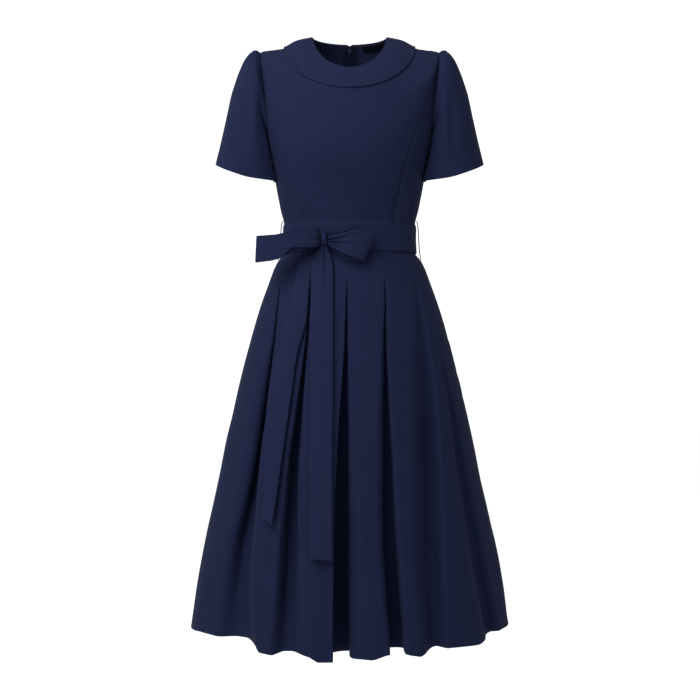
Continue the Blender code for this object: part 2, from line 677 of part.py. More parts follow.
def pleat_section(width, sunk, left_roll, right_roll):
    """Across and inward places of a crisp pleat: a rolled edge and a wall on each side of its foot."""
    edge = width / 2
    foot = edge + FOOT_FLARE * min(1.0, (sunk / FLARED_DEPTH) ** 2)
    sides = []
    for roll in (left_roll, right_roll):
        turned = min(ROLL_DEPTH * roll, ROLLED_SHARE * sunk)
        sides.append([
            (edge + roll, 0.0),
            (edge + ROLL_MIDDLE * roll, ROLL_MIDDLE * turned),
            (edge, turned),
            (foot, WALL_FOOT * sunk),
        ])
    left = [(-along, into) for along, into in sides[0]]
    return np.array(left + [(0.0, sunk)] + sides[1][::-1])


def smooth_step(place):
    held = np.clip(place, 0, 1)
    return held * held * (3 - 2 * held)


def pleat_points(pleat, level):
    """The points across one pleat at a level, and the angles of its two edges."""
    start_z = pleat[1]
    opened = np.clip((start_z - level) / (start_z - HEM_Z), 0, 1)
    angle, width, sunk, left_roll, right_roll, crispness = [
        float(smooth_table(PLEAT_PLACES, values, opened)) for values in pleat[2:]
    ]
    along, into = pleat_section(width, sunk, left_roll, right_roll).T
    even = np.linspace(along[0], along[-1], PLEAT_COLUMNS)
    left_side = smooth_step((even - even[0]) / (left_roll + VALLEY_SIDE * width))
    right_side = smooth_step((even[-1] - even) / (right_roll + VALLEY_SIDE * width))
    valley = sunk * left_side * right_side
    crisp = crispness * min(1.0, sunk / OPENED_DEPTH)
    place = even + (along - even) * crisp
    sinking = valley + (into - valley) * crisp
    speed, inward = across_outline(angle, level)
    turn = FRONT_TURN if inward[1] > 0 else -BACK_TURN
    sink_way = unit(inward + (0.0, turn, 0.0))
    points = [
        skirt_outline(angle + across / speed, level) + sink_way * sink
        for across, sink in zip(place, sinking)
    ]
    return points, angle + place[0] / speed, angle + place[-1] / speed


def panel_points(start, end, count, level):
    """Points between two pleats, swelling a little outward towards the hem."""
    opened = float(np.clip((RELEASE_Z - level) / (RELEASE_Z - HEM_Z), 0, 1))
    points = []
    for k in range(1, count + 1):
        share = k / (count + 1)
        angle = start + (end - start) * share
        speed, inward = across_outline(angle, level)
        wide = min(1.0, (end - start) * speed / WIDE_PANEL)
        swell = PANEL_BULGE * opened * (wide * math.sin(math.pi * share)) ** 2
        points.append(skirt_outline(angle, level) - inward * swell)
    return points


def skirt_landmarks():
    """Seams and pleats in order round the hem from the centre back, and the points between."""
    marks = [(-180.0, None), (-90.0, None), (90.0, None)]
    marks += [(pleat[2][-1], pleat) for pleat in PLEATS]
    marks.sort(key=lambda mark: mark[0])
    closed = marks + [(180.0, None)]
    counts = []
    for (before, first), (after, second) in zip(closed, closed[1:]):
        span = after - before - 4 * ((first is not None) + (second is not None))
        counts.append(max(1, round(span / PANEL_STEP)))
    return marks, counts


def skirt_ring(level, marks, counts):
    """All points round the skirt at one level, and the columns where the seams lie."""
    landmarks = []
    for angle, pleat in marks:
        if pleat is None:
            landmarks.append(([skirt_outline(angle, level)], angle, angle))
        else:
            landmarks.append(pleat_points(pleat, level))
    points = []
    seams = []
    for k, (mark_points, _, right) in enumerate(landmarks):
        if marks[k][1] is None:
            seams.append(len(points))
        points += mark_points
        left_of_next = landmarks[k + 1][1] if k + 1 < len(landmarks) else 180.0
        points += panel_points(right, left_of_next, counts[k], level)
    return points, seams


def make_skirt():
    marks, counts = skirt_landmarks()
    rings = []
    for level in SKIRT_LEVELS:
        ring, seams = skirt_ring(level, marks, counts)
        rings.append(ring)
    outer = np.array(rings[::-1])
    inward = grid_inward(outer, CLOTH, around=True)
    inward *= inward_sign(outer[-1:], inward[-1:])
    outer[-1, :, 2] -= SEAM_GAP / 2
    inward[-1, :, 2] = 0
    whole = outer.shape[1]
    back, left, right = seams
    pieces = [
        ("skirt_back_left", range(back, left + 1)),
        ("skirt_front", range(left, right + 1)),
        ("skirt_back_right", range(right, whole + 1)),
    ]
    for name, span in pieces:
        picked = [col % whole for col in span]
        add_wall(name, inset_sides(outer[:, picked]), inward[:, picked], NAVY)


# Belt.

def make_belt():
    angles = np.linspace(0, 360, BELT_COLUMNS, endpoint=False) - 180
    around = [
        skirt_outline(angles, BELT_FOOT_Z) * (1, 1, 0) + (0, 0, BELT_FOOT_Z),
        skirt_outline(angles, WAIST_Z),
        bodice_point(angles, BELT_TOP_SHARE),
    ]
    outer = np.array(around)
    outward = unit(outer * (1, 1, 0))
    outer += outward * (BELT_EASE + BELT_CLOTH)
    inward = grid_inward(outer, BELT_CLOTH, around=True)
    inward *= inward_sign(outer, inward)
    inward[:, :, 2] = 0
    add_wall("belt_band", outer, inward, NAVY_BELT, around=True)


def make_bow_loop(name, table):
    xs, ys, zs, heights, slants = columns(table)
    across = np.linspace(-0.5, 0.5, STRIP_ROWS)
    rows = []
    for place in across:
        rows.append(np.stack([xs - slants * place + slants / 2, ys, zs + heights * place], -1))
    middle = np.array(rows)
    half = grid_inward(middle, BELT_CLOTH / 2, around=False)
    add_wall(name, middle - half, 2 * half, NAVY_BELT)


def make_knot():
    mesh = bpy.data.meshes.new("bow_knot")
    shell = bmesh.new()
    bmesh.ops.create_cube(shell, size=1)
    bmesh.ops.scale(shell, vec=[side * MM for side in KNOT_SIZE], verts=shell.verts[:])
    bmesh.ops.bevel(
        shell, geom=shell.edges[:], offset=KNOT_ROUNDING * MM, segments=3, profile=0.5, affect="EDGES"
    )
    shell.to_mesh(mesh)
    shell.free()
    mesh.shade_smooth()
    knot = add_object("bow_knot", mesh, NAVY_BELT)
    knot.location = [side * MM for side in KNOT_CENTRE]


def angle_across(x, level):
    """The angle at which the skirt's front outline crosses x."""
    low = -89.0
    high = 89.0
    for _ in range(40):
        middle = (low + high) / 2
        if skirt_outline(middle, level)[0] < x:
            low = middle
        else:
            high = middle
    return (low + high) / 2


def tail_point(x, z, out):
    """A point in front of the skirt, standing out from its outline."""
    angle = angle_across(x, z)
    _, inward = across_outline(angle, z)
    at = skirt_outline(angle, z)
    return np.array([at[0], at[1] - out / inward[1], z])


def make_tail(name, table):
    across = np.linspace(0, 1, STRIP_ROWS)
    rows = []
    for left_x, left_z, right_x, right_z, left_out, right_out, bow in table:
        row = []
        for share in across:
            x = left_x + (right_x - left_x) * share
            z = left_z + (right_z - left_z) * share
            out = left_out + (right_out - left_out) * share + bow * math.sin(math.pi * share)
            row.append(tail_point(x, z, out))
        rows.append(row)
    middle = np.array(rows)
    half = grid_inward(middle, BELT_CLOTH / 2, around=False)
    add_wall(name, middle - half, 2 * half, NAVY_BELT)


def make_carrier(name, side):
    """A thread loop: a thin round tube on its path, with flat ends."""
    path = np.array([(side * x, 0.0, z) for x, z in CARRIER_PATH])
    ways = np.gradient(path, axis=0)
    ways = unit(ways)
    beside = np.array([0.0, 1.0, 0.0])
    mesh = bpy.data.meshes.new(name)
    shell = bmesh.new()
    rings = []
    for at, way in zip(path, ways):
        other = np.cross(way, beside)
        ring = []
        for k in range(CARRIER_SIDES):
            turn = 2 * math.pi * k / CARRIER_SIDES
            point = at + CARRIER_RADIUS * (math.cos(turn) * beside + math.sin(turn) * other)
            ring.append(shell.verts.new(tuple(point * MM)))
        rings.append(ring)
    for first, second in zip(rings, rings[1:]):
        for k in range(CARRIER_SIDES):
            beside_k = (k + 1) % CARRIER_SIDES
            shell.faces.new((first[k], first[beside_k], second[beside_k], second[k]))
    shell.faces.new(rings[0][::-1])
    shell.faces.new(rings[-1])
    bmesh.ops.recalc_face_normals(shell, faces=shell.faces[:])
    shell.to_mesh(mesh)
    shell.free()
    mesh.shade_smooth()
    mesh.set_sharp_from_angle(angle=math.radians(50))
    add_object(name, mesh, NAVY_BELT)


# Label and zip.

def make_label():
    angles = np.linspace(*LABEL_ANGLES, LABEL_COLUMNS)
    shares = np.linspace(*LABEL_SHARES, 3)
    angles, shares = np.meshgrid(angles, shares)
    normals = bodice_normal(angles, shares)
    outer = bodice_point(angles, shares) - normals * (CLOTH + INSIDE_EASE)
    add_wall("neck_label", outer, -normals * LABEL_CLOTH, LABEL_BLACK, roughness=0.6)


def zip_line():
    """Places down the centre back, with the way out of the cloth at each, and half the gap."""
    places = []
    for share in back_shares()[::-1]:
        point = bodice_point(180.0, share)
        places.append((point, bodice_normal(180.0, share), float(zip_notch(share))))
    for level in SKIRT_LEVELS:
        if WAIST_Z > level >= ZIP_FOOT_Z:
            point = skirt_outline(180.0, level)
            slope = skirt_outline(180.0, level - 2) - skirt_outline(180.0, level + 2)
            normal = unit(np.array([0.0, -slope[2], slope[1]]))
            places.append((point, normal, SEAM_GAP / 2))
    return places


def make_zip_tapes():
    places = zip_line()
    for name, side in (("zip_tape_right", 1.0), ("zip_tape_left", -1.0)):
        rows = []
        inward = []
        for point, normal, gap in places:
            row = []
            for x in (gap, TAPE_WIDTH / 2, TAPE_WIDTH):
                row.append(point * (0, 1, 1) + (side * x, 0, 0) - normal * (CLOTH + INSIDE_EASE))
            rows.append(row)
            inward.append([-normal * TAPE_CLOTH] * 3)
        add_wall(name, np.array(rows), np.array(inward), TAPE_NAVY)


def slider_frame():
    """Place and tilt of the zip's slider: local y runs down the back, local z out of it."""
    at = bodice_point(180.0, ZIP_SHARE)
    normal = bodice_normal(180.0, ZIP_SHARE)
    tilt = math.atan2(normal[2], normal[1])
    return at, normal, tilt


def box(shell, low, high):
    corners = bmesh.ops.create_cube(shell, size=1)["verts"]
    size = [(b - a) * MM for a, b in zip(low, high)]
    middle = [(a + b) / 2 * MM for a, b in zip(low, high)]
    bmesh.ops.scale(shell, vec=size, verts=corners)
    bmesh.ops.translate(shell, vec=middle, verts=corners)


def cutter_box(name, low, high):
    mesh = bpy.data.meshes.new(name)
    shell = bmesh.new()
    box(shell, low, high)
    shell.to_mesh(mesh)
    shell.free()
    return hidden_tool(name, mesh)


def hidden_tool(name, mesh):
    tool = bpy.data.objects.new(name, mesh)
    bpy.context.scene.collection.objects.link(tool)
    tool.hide_render = True
    tool.display_type = "WIRE"
    return tool


def boolean(piece, tool, operation):
    change = piece.modifiers.new(operation.lower(), "BOOLEAN")
    change.operation = operation
    change.solver = "EXACT"
    change.object = tool


def place_on_back(piece, along=0.0, height=0.0):
    """Set a piece's local frame on the centre back: y down the cloth, z out of it."""
    at, normal, tilt = slider_frame()
    down = np.array([0.0, normal[2], -normal[1]])
    where = at + down * along + normal * height
    piece.location = [side * MM for side in where]
    piece.rotation_euler = (tilt - math.pi / 2, 0.0, 0.0)


def make_slider():
    top = -CLOTH - 2 * INSIDE_EASE - TAPE_CLOTH - SLIDER_EASE
    mesh = bpy.data.meshes.new("zip_slider")
    shell = bmesh.new()
    box(
        shell,
        (-SLIDER_WIDTH / 2, -SLIDER_LENGTH / 2, top - SLIDER_DEPTH),
        (SLIDER_WIDTH / 2, SLIDER_LENGTH / 2, top),
    )
    bmesh.ops.bevel(shell, geom=shell.edges[:], offset=0.5 * MM, segments=2, affect="EDGES")
    shell.to_mesh(mesh)
    shell.free()
    slider = add_object("zip_slider", mesh, METAL_NAVY, 0.4, 0.6)
    place_on_back(slider)
    crown = cutter_box(
        "slider_crown",
        (-CROWN_WIDTH / 2, -CROWN_LENGTH / 2, top - 0.5),
        (CROWN_WIDTH / 2, CROWN_LENGTH / 2, PULL_AXIS_HEIGHT + CROWN_TOP),
    )
    place_on_back(crown)
    hole_mesh = bpy.data.meshes.new("slider_hole")
    shell = bmesh.new()
    bmesh.ops.create_cone(
        shell, cap_ends=True, segments=20, radius1=PULL_HOLE_RADIUS * MM, radius2=PULL_HOLE_RADIUS * MM,
        depth=6 * CROWN_WIDTH * MM,
    )
    turned = np.array([[0, 0, 1], [0, 1, 0], [-1, 0, 0]])
    for vert in shell.verts:
        vert.co = tuple(turned @ np.array(vert.co))
    shell.to_mesh(hole_mesh)
    shell.free()
    hole = hidden_tool("slider_hole", hole_mesh)
    place_on_back(hole, height=PULL_AXIS_HEIGHT)
    boolean(slider, crown, "UNION")
    boolean(slider, hole, "DIFFERENCE")


def make_pull():
    """The pull tab: its square top bar runs through the crown and lies on the hinge's axis."""
    half = PULL_WIDTH / 2
    bar = PULL_THICKNESS / 2
    outline = [(-half * 0.86, -bar), (half * 0.86, -bar)]
    outline += [(half * 0.9, PULL_WINDOW_LENGTH + 2 * bar)]
    for k in range(9):
        turn = math.radians(-20 + 220 * k / 8)
        outline.append((half * math.cos(turn), PULL_LENGTH - half - bar + half * math.sin(turn)))
    outline += [(-half * 0.9, PULL_WINDOW_LENGTH + 2 * bar)]
    mesh = bpy.data.meshes.new("zip_pull")
    shell = bmesh.new()
    lower = [shell.verts.new((x * MM, y * MM, -bar * MM)) for x, y in outline]
    face = shell.faces.new(lower)
    raised = bmesh.ops.extrude_face_region(shell, geom=[face])["geom"]
    tops = [part for part in raised if isinstance(part, bmesh.types.BMVert)]
    bmesh.ops.translate(shell, vec=(0, 0, PULL_THICKNESS * MM), verts=tops)
    bmesh.ops.recalc_face_normals(shell, faces=shell.faces[:])
    shell.to_mesh(mesh)
    shell.free()
    pull = add_object("zip_pull", mesh, METAL_NAVY, 0.4, 0.6)
    place_on_back(pull, height=PULL_AXIS_HEIGHT)
    window = cutter_box(
        "pull_window",
        (-PULL_WINDOW_WIDTH / 2, bar, -2 * PULL_THICKNESS),
        (PULL_WINDOW_WIDTH / 2, bar + PULL_WINDOW_LENGTH, 2 * PULL_THICKNESS),
    )
    place_on_back(window, height=PULL_AXIS_HEIGHT)
    boolean(pull, window, "DIFFERENCE")


for leftover in list(bpy.data.objects):
    bpy.data.objects.remove(leftover)

make_front_centre()
make_side_fronts()
make_backs()
make_collar()
make_sleeves()
make_skirt()
make_belt()
make_bow_loop("bow_loop_left", BOW_LOOP_LEFT)
make_bow_loop("bow_loop_right", BOW_LOOP_RIGHT)
make_knot()
make_tail("belt_tail_left", BELT_TAIL_LEFT)
make_tail("belt_tail_right", BELT_TAIL_RIGHT)
make_carrier("belt_carrier_right", 1.0)
make_carrier("belt_carrier_left", -1.0)
make_label()
make_zip_tapes()
make_slider()
make_pull()
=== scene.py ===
"""A navy a-line dress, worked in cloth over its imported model.

Lengths are in millimetres and angles in degrees, with 0 at the centre front, 90 at the +X side and
180 at the centre back, until a mesh is made in metres.
"""
import math

import bpy
import numpy as np
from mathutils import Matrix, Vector


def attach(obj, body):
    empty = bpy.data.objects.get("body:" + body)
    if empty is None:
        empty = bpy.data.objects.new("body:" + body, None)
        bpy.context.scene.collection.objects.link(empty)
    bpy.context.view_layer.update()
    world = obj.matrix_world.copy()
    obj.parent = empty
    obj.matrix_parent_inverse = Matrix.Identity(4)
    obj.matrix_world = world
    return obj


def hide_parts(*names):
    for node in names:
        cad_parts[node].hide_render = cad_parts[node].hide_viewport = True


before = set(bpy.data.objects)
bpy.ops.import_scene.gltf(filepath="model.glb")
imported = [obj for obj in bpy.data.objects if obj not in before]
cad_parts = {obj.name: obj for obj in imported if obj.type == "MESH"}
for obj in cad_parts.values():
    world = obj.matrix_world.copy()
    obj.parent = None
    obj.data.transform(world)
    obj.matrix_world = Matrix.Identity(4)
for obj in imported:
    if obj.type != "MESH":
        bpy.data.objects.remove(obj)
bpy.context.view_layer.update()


# Front bodice. A centre panel and two side fronts of navy crepe meet at princess seams, which run
# from the waist over the bust to the armholes. The seams are pressed open, so each one is a fine
# groove with small puckers beside it.

MM = 0.001
SEAM_GAP = 0.3
CREPE_THICKNESS = 1.3
SEAM_DIP = 0.9
SEAM_DIP_WIDTH = 2.2
PUCKER_HEIGHT = 0.34
PUCKER_REACH = 9.0
PUCKER_LENGTH = 15.0
ALLOWANCE_TURN = 3.6
ALLOWANCE_DEPTH = 2.9
ALLOWANCE_THICKNESS = 0.6
ALLOWANCE_COLUMNS = 5
FRONT_COLUMNS = 121
SIDE_ROWS = 100
SIDE_COLUMNS = 41
ANGLE_STEP = 0.5
SHARE_STEP = 0.004
FOLD_BOW = 0.06
FOLD_FADE = 0.8
SHARP_TURN = 60

# The grain of the cloth. Spacings and relief are in metres, and scales are per metre.
THREAD_SPACING = 0.00045
CREPE_RELIEF = 0.00012
PEBBLE_SHARE = 0.5
PEBBLE_SCALE = 1500.0
WANDER_SCALE = 900.0
THREAD_WANDER = 2.6
THREAD_TURN = 6.2832
CLOUD_SCALE = 14.0
CLOUD_CONTRAST = 0.35
THREAD_CONTRAST = 0.55
THREAD_SHADE = 0.22
ROUGHNESS_SPAN = 0.12
SHEEN_ROUGHNESS = 0.45
SHEEN_TINT = (0.55, 0.62, 1.0, 1.0)
CLOTH_SPECULAR = 0.03
BUMP_STRENGTH = 0.6

BODICE_RINGS = [
    # share, half, side_z, front_y, front_z, back_y, back_z, roundness
    (0.00, 120.5, -375.0,  -93.0, -375.0,  92.0, -375.0, 2.15),
    (0.08, 121.0, -349.0,  -93.5, -349.0,  92.0, -349.0, 2.15),
    (0.18, 127.5, -320.0,  -97.5, -317.0,  93.0, -320.0, 2.20),
    (0.29, 134.0, -287.0, -106.0, -281.0,  97.0, -287.0, 2.30),
    (0.38, 138.5, -262.0, -114.0, -254.0, 102.0, -261.0, 2.40),
    (0.47, 144.5, -229.0, -120.0, -226.0, 107.0, -229.0, 2.50),
    (0.55, 150.0, -200.0, -121.0, -205.0, 110.0, -201.0, 2.60),
    (0.68, 160.0, -112.0, -118.0, -174.0, 112.0, -146.0, 2.60),
    (0.80, 164.5,  -29.5, -113.0, -146.0, 106.0,  -96.0, 2.40),
    (0.90, 121.0,  -20.5, -104.0, -112.0,  90.0,  -46.0, 2.10),
    (0.95,  96.0,   -8.2,  -92.0,  -91.2,  73.5,  -23.5, 2.05),
    (1.00,  68.0,   -2.2,  -77.0,  -71.5,  54.0,   -4.0, 2.00),
]
UNDERARM_SHARE = 0.55
SHOULDER_SHARE = 0.80
NOTCH_SHARE = 0.745
SHOULDER_SOFTNESS = 0.12
ARMHOLE_FRONT = 25.0
PRINCESS_SEAM = [
    # share, angle
    (0.000, 41.0),
    (0.200, 40.4),
    (0.335, 40.9),
    (0.475, 43.0),
    (0.600, 45.9),
    (0.670, 49.4),
    (0.710, 53.8),
    (0.745, 69.3),
]

# Drags and soft folds of the front, as lines seen from the front; a negative depth is a trough.
FRONT_FOLDS = [
    # x0,    z0,     x1,     z1,    width, depth
    (128.0, -165.0,   96.0, -232.0, 13.0, -2.2),
    (120.0, -214.0,   96.0, -262.0, 12.0,  1.4),
    (132.0, -196.0,  118.0, -262.0,  9.0, -1.6),
    (118.0, -288.0,  112.0, -356.0,  4.5, -3.4),
    (104.0, -292.0,  100.0, -356.0,  5.0,  1.8),
    (88.0,  -296.0,   80.0, -356.0,  4.0, -2.6),
    (62.0,  -290.0,   74.0, -350.0, 10.0, -1.2),
    (30.0,  -316.0,   34.0, -352.0,  9.0, -1.0),
    (-12.0, -310.0,  -10.0, -352.0, 11.0, -0.9),
    (-58.0, -300.0,  -66.0, -352.0,  9.0, -1.3),
    (-112.0, -262.0, -90.0, -356.0,  6.0, -2.6),
    (-122.0, -300.0, -108.0, -356.0, 5.0,  1.8),
    (-100.0, -238.0, -74.0, -330.0,  9.0,  1.4),
    (-134.0, -180.0, -116.0, -260.0, 10.0, -1.8),
    (-128.0, -150.0, -98.0, -224.0, 14.0, -1.4),
    (-140.0, -118.0, -120.0, -168.0, 9.0,  1.2),
    (141.0, -112.0,  124.0, -158.0,  9.0,  1.2),
    (112.0, -128.0,   84.0, -172.0, 15.0, -1.0),
    (-70.0, -122.0,  -40.0, -172.0, 20.0, -0.8),
]


def smooth_table(places, values, at):
    """Monotone cubic through a table, so nothing overshoots between its rows."""
    places = np.asarray(places, float)
    values = np.asarray(values, float)
    at = np.clip(np.asarray(at, float), places[0], places[-1])
    spans = np.diff(places)
    rises = np.diff(values) / spans
    slopes = np.zeros_like(values)
    for i in range(1, len(values) - 1):
        if rises[i - 1] * rises[i] > 0:
            before = 2 * spans[i] + spans[i - 1]
            after = spans[i] + 2 * spans[i - 1]
            slopes[i] = (before + after) / (before / rises[i - 1] + after / rises[i])
    slopes[0] = rises[0]
    slopes[-1] = rises[-1]
    k = np.clip(np.searchsorted(places, at, side="right") - 1, 0, len(spans) - 1)
    t = (at - places[k]) / spans[k]
    return (
        values[k] * (1 + 2 * t) * (1 - t) ** 2
        + slopes[k] * spans[k] * t * (1 - t) ** 2
        + values[k + 1] * t * t * (3 - 2 * t)
        + slopes[k + 1] * spans[k] * t * t * (t - 1)
    )


def columns(table):
    """The columns of a table of measures, each as one row of numbers."""
    return [np.array(values, float) for values in zip(*table)]


def unit(vectors):
    """The vectors at length 1."""
    return vectors / np.maximum(np.linalg.norm(vectors, axis=-1, keepdims=True), 1e-9)


def ring_shape(angle, roundness):
    """Across and forward parts of a unit ring at an angle round the body."""
    turn = np.radians(angle)
    across = np.sin(turn)
    forward = np.cos(turn)
    reach = (np.abs(across) ** roundness + np.abs(forward) ** roundness) ** (-1 / roundness)
    return across * reach, forward * reach


def bodice_point(angle, share):
    """A point of the bodice's outer face, from the waist seam, share 0, to the neck, share 1."""
    places, *shape = columns(BODICE_RINGS)
    half, side_z, front_y, front_z, back_y, back_z, roundness = [
        smooth_table(places, values, share) for values in shape
    ]
    across, forward = ring_shape(angle, roundness)
    ahead = forward >= 0
    depth = np.where(ahead, front_y, -back_y)
    low_z = np.where(ahead, front_z, back_z)
    reach = np.hypot(forward, SHOULDER_SOFTNESS) - SHOULDER_SOFTNESS
    fall = reach / (math.hypot(1, SHOULDER_SOFTNESS) - SHOULDER_SOFTNESS)
    return np.stack([across * half, forward * depth, side_z + (low_z - side_z) * fall], -1)


def bodice_normal(angle, share):
    """The way out of the bodice's face at a point."""
    low = np.clip(share - SHARE_STEP, 0, 1)
    high = np.clip(share + SHARE_STEP, 0, 1)
    round_way = bodice_point(angle + ANGLE_STEP, share) - bodice_point(angle - ANGLE_STEP, share)
    return unit(np.cross(round_way, bodice_point(angle, high) - bodice_point(angle, low)))


def grid_normals(points, around=False):
    """Unit normals of a grid of points, rows up and columns round."""
    if around:
        round_way = np.roll(points, -1, 1) - np.roll(points, 1, 1)
    else:
        round_way = np.gradient(points, axis=1)
    return unit(np.cross(round_way, np.gradient(points, axis=0)))


def lengths_along(points, axis):
    """How far each point of a grid lies from its first one along rows or columns."""
    steps = np.linalg.norm(np.diff(points, axis=axis), axis=-1)
    pad = [(0, 0), (0, 0)]
    pad[axis] = (1, 0)
    return np.pad(np.cumsum(steps, axis=axis), pad)


def wavering(place, length, seed):
    """A smooth, uneven wave between -1 and 1 with no plain repeat."""
    turn = 2 * math.pi * np.asarray(place, float) / length
    return (
        0.5 * np.sin(turn + 1.7 * seed)
        + 0.3 * np.sin(1.73 * turn + 2.9 * seed + 0.6)
        + 0.2 * np.sin(2.91 * turn + 0.8 * seed + 2.1)
    )


def hump(place, middle, width):
    """1 at the middle, fading to nothing within a few widths of it."""
    return np.exp(-(((place - middle) / width) ** 2))


def folded(across, up, folds):
    """Height of soft folds at the places (across, up): each is a line that fades at its ends."""
    height = np.zeros(np.broadcast(across, up).shape)
    for x0, z0, x1, z1, width, depth in folds:
        run = math.hypot(x1 - x0, z1 - z0)
        way = ((x1 - x0) / run, (z1 - z0) / run)
        along = ((across - x0) * way[0] + (up - z0) * way[1]) / run
        aside = (across - x0) * way[1] - (up - z0) * way[0]
        bow = FOLD_BOW * run * np.sin(math.pi * np.clip(along, 0, 1))
        fade = np.clip(1 - (2 * along - 1) ** 2, 0, 1) ** FOLD_FADE
        height = height + depth * fade * hump(aside, bow, width)
    return height


def seam_relief(points, seams, seed):
    """Groove and puckers beside the sewn edges of a panel's grid: first, last, foot and top ones."""
    across = lengths_along(points, 1)
    up = lengths_along(points, 0)
    far_across = across[:, -1:] - across
    far_up = up[-1:] - up
    away = {"first": (across, up), "last": (far_across, up), "foot": (up, across), "top": (far_up, across)}
    height = np.zeros(points.shape[:2])
    for number, (seam, strength) in enumerate(seams.items()):
        distance, along = away[seam]
        height -= strength * SEAM_DIP * hump(distance, 0, SEAM_DIP_WIDTH)
        pucker = wavering(along, PUCKER_LENGTH, seed + number)
        height += strength * PUCKER_HEIGHT * pucker * np.exp(-distance / PUCKER_REACH)
    return height


def cloth_shell(name, outer, material, thickness=CREPE_THICKNESS, around=False, outward=None, inside=None):
    """A thin closed shell of cloth under a grid of outer points, with its weave laid out flat."""
    rows, cols = outer.shape[:2]
    normals = grid_normals(outer, around)
    turned = outward is not None and (normals * outward).sum() < 0
    if turned:
        normals = -normals
    inner = outer - normals * thickness
    points = np.concatenate([outer.reshape(-1, 3), inner.reshape(-1, 3)]) * MM
    number = np.arange(rows * cols).reshape(rows, cols)
    beside = np.roll(number, -1, 1)
    last = cols if around else cols - 1
    quads = np.stack([number[:-1, :last], beside[:-1, :last], beside[1:, :last], number[1:, :last]], -1)
    quads = quads.reshape(-1, 4)
    under = rows * cols
    low, low_next = number[0, :last], beside[0, :last]
    high, high_next = number[-1, :last], beside[-1, :last]
    foot = np.stack([low_next, low, low + under, low_next + under], -1)
    top = np.stack([high, high_next, high_next + under, high + under], -1)
    faces = [quads, quads[:, ::-1] + under, foot, top]
    if not around:
        first = number[:, 0]
        end = number[:, -1]
        faces.append(np.stack([first[:-1], first[1:], first[1:] + under, first[:-1] + under], -1))
        faces.append(np.stack([end[1:], end[:-1], end[:-1] + under, end[1:] + under], -1))
    faces = np.concatenate(faces)
    if turned:
        faces = faces[:, ::-1]
    mesh = bpy.data.meshes.new(name)
    mesh.from_pydata(points.tolist(), [], faces.tolist())
    weave = mesh.uv_layers.new(name="weave")
    flat = np.stack([lengths_along(outer, 1), lengths_along(outer, 0)], -1).reshape(-1, 2) * MM
    flat = np.concatenate([flat, flat])
    weave.data.foreach_set("uv", flat[faces.reshape(-1)].reshape(-1))
    mesh.shade_smooth()
    mesh.set_sharp_from_angle(angle=math.radians(SHARP_TURN))
    mesh.materials.append(material)
    if inside is not None:
        mesh.materials.append(inside)
        side = np.zeros(len(faces), dtype=np.int32)
        side[len(quads):2 * len(quads)] = 1
        mesh.polygons.foreach_set("material_index", side)
    piece = bpy.data.objects.new(name, mesh)
    bpy.context.scene.collection.objects.link(piece)
    return piece


def inset_sides(points, amount=SEAM_GAP / 2):
    """Draw a grid's side edges back from their seams."""
    moved = points.copy()
    moved[:, 0] += unit(points[:, 1] - points[:, 0]) * amount
    moved[:, -1] += unit(points[:, -2] - points[:, -1]) * amount
    return moved


def armhole_angle(share, reach):
    """How far the armhole's edge lies from the side seam at a share of the height."""
    middle = (UNDERARM_SHARE + SHOULDER_SHARE) / 2
    half = (SHOULDER_SHARE - UNDERARM_SHARE) / 2
    return reach * np.sqrt(1 - np.clip((share - middle) / half, -1, 1) ** 2)


def share_rows(*runs):
    """Shares from the waist up in joined runs, each given as first, last and count."""
    parts = [np.linspace(*run) for run in runs]
    return np.concatenate(parts[:1] + [part[1:] for part in parts[1:]])


def new_group(name, inputs, outputs):
    """A shader node group with its sockets; returns the group, its input and its output node."""
    group = bpy.data.node_groups.new(name, "ShaderNodeTree")
    for label, kind, value in inputs:
        socket = group.interface.new_socket(label, in_out="INPUT", socket_type=kind)
        if value is not None:
            socket.default_value = value
    for label, kind in outputs:
        group.interface.new_socket(label, in_out="OUTPUT", socket_type=kind)
    return group, group.nodes.new("NodeGroupInput"), group.nodes.new("NodeGroupOutput")


def math_node(tree, operation, first, second=None, third=None):
    """The result of a sum on sockets or plain numbers."""
    node = tree.nodes.new("ShaderNodeMath")
    node.operation = operation
    for socket, value in zip(node.inputs, (first, second, third)):
        if value is None:
            continue
        if isinstance(value, (int, float)):
            socket.default_value = value
        else:
            tree.links.new(value, socket)
    return node.outputs[0]


def noise_node(tree, scale, detail, vector=None):
    """A noise texture laid out by the vector, or by the piece's own box where none is given."""
    noise = tree.nodes.new("ShaderNodeTexNoise")
    noise.inputs["Scale"].default_value = scale
    noise.inputs["Detail"].default_value = detail
    if vector is not None:
        tree.links.new(vector, noise.inputs["Vector"])
    return noise


def colour_between(tree, factor, shade, light):
    """A colour that goes from shade to light as the factor goes from 0 to 1."""
    colour = tree.nodes.new("ShaderNodeMix")
    colour.data_type = "RGBA"
    ends = [socket for socket in colour.inputs if socket.type == "RGBA"]
    ends[0].default_value = (*shade, 1.0)
    ends[1].default_value = (*light, 1.0)
    tree.links.new(factor, colour.inputs["Factor"])
    return colour.outputs[2]


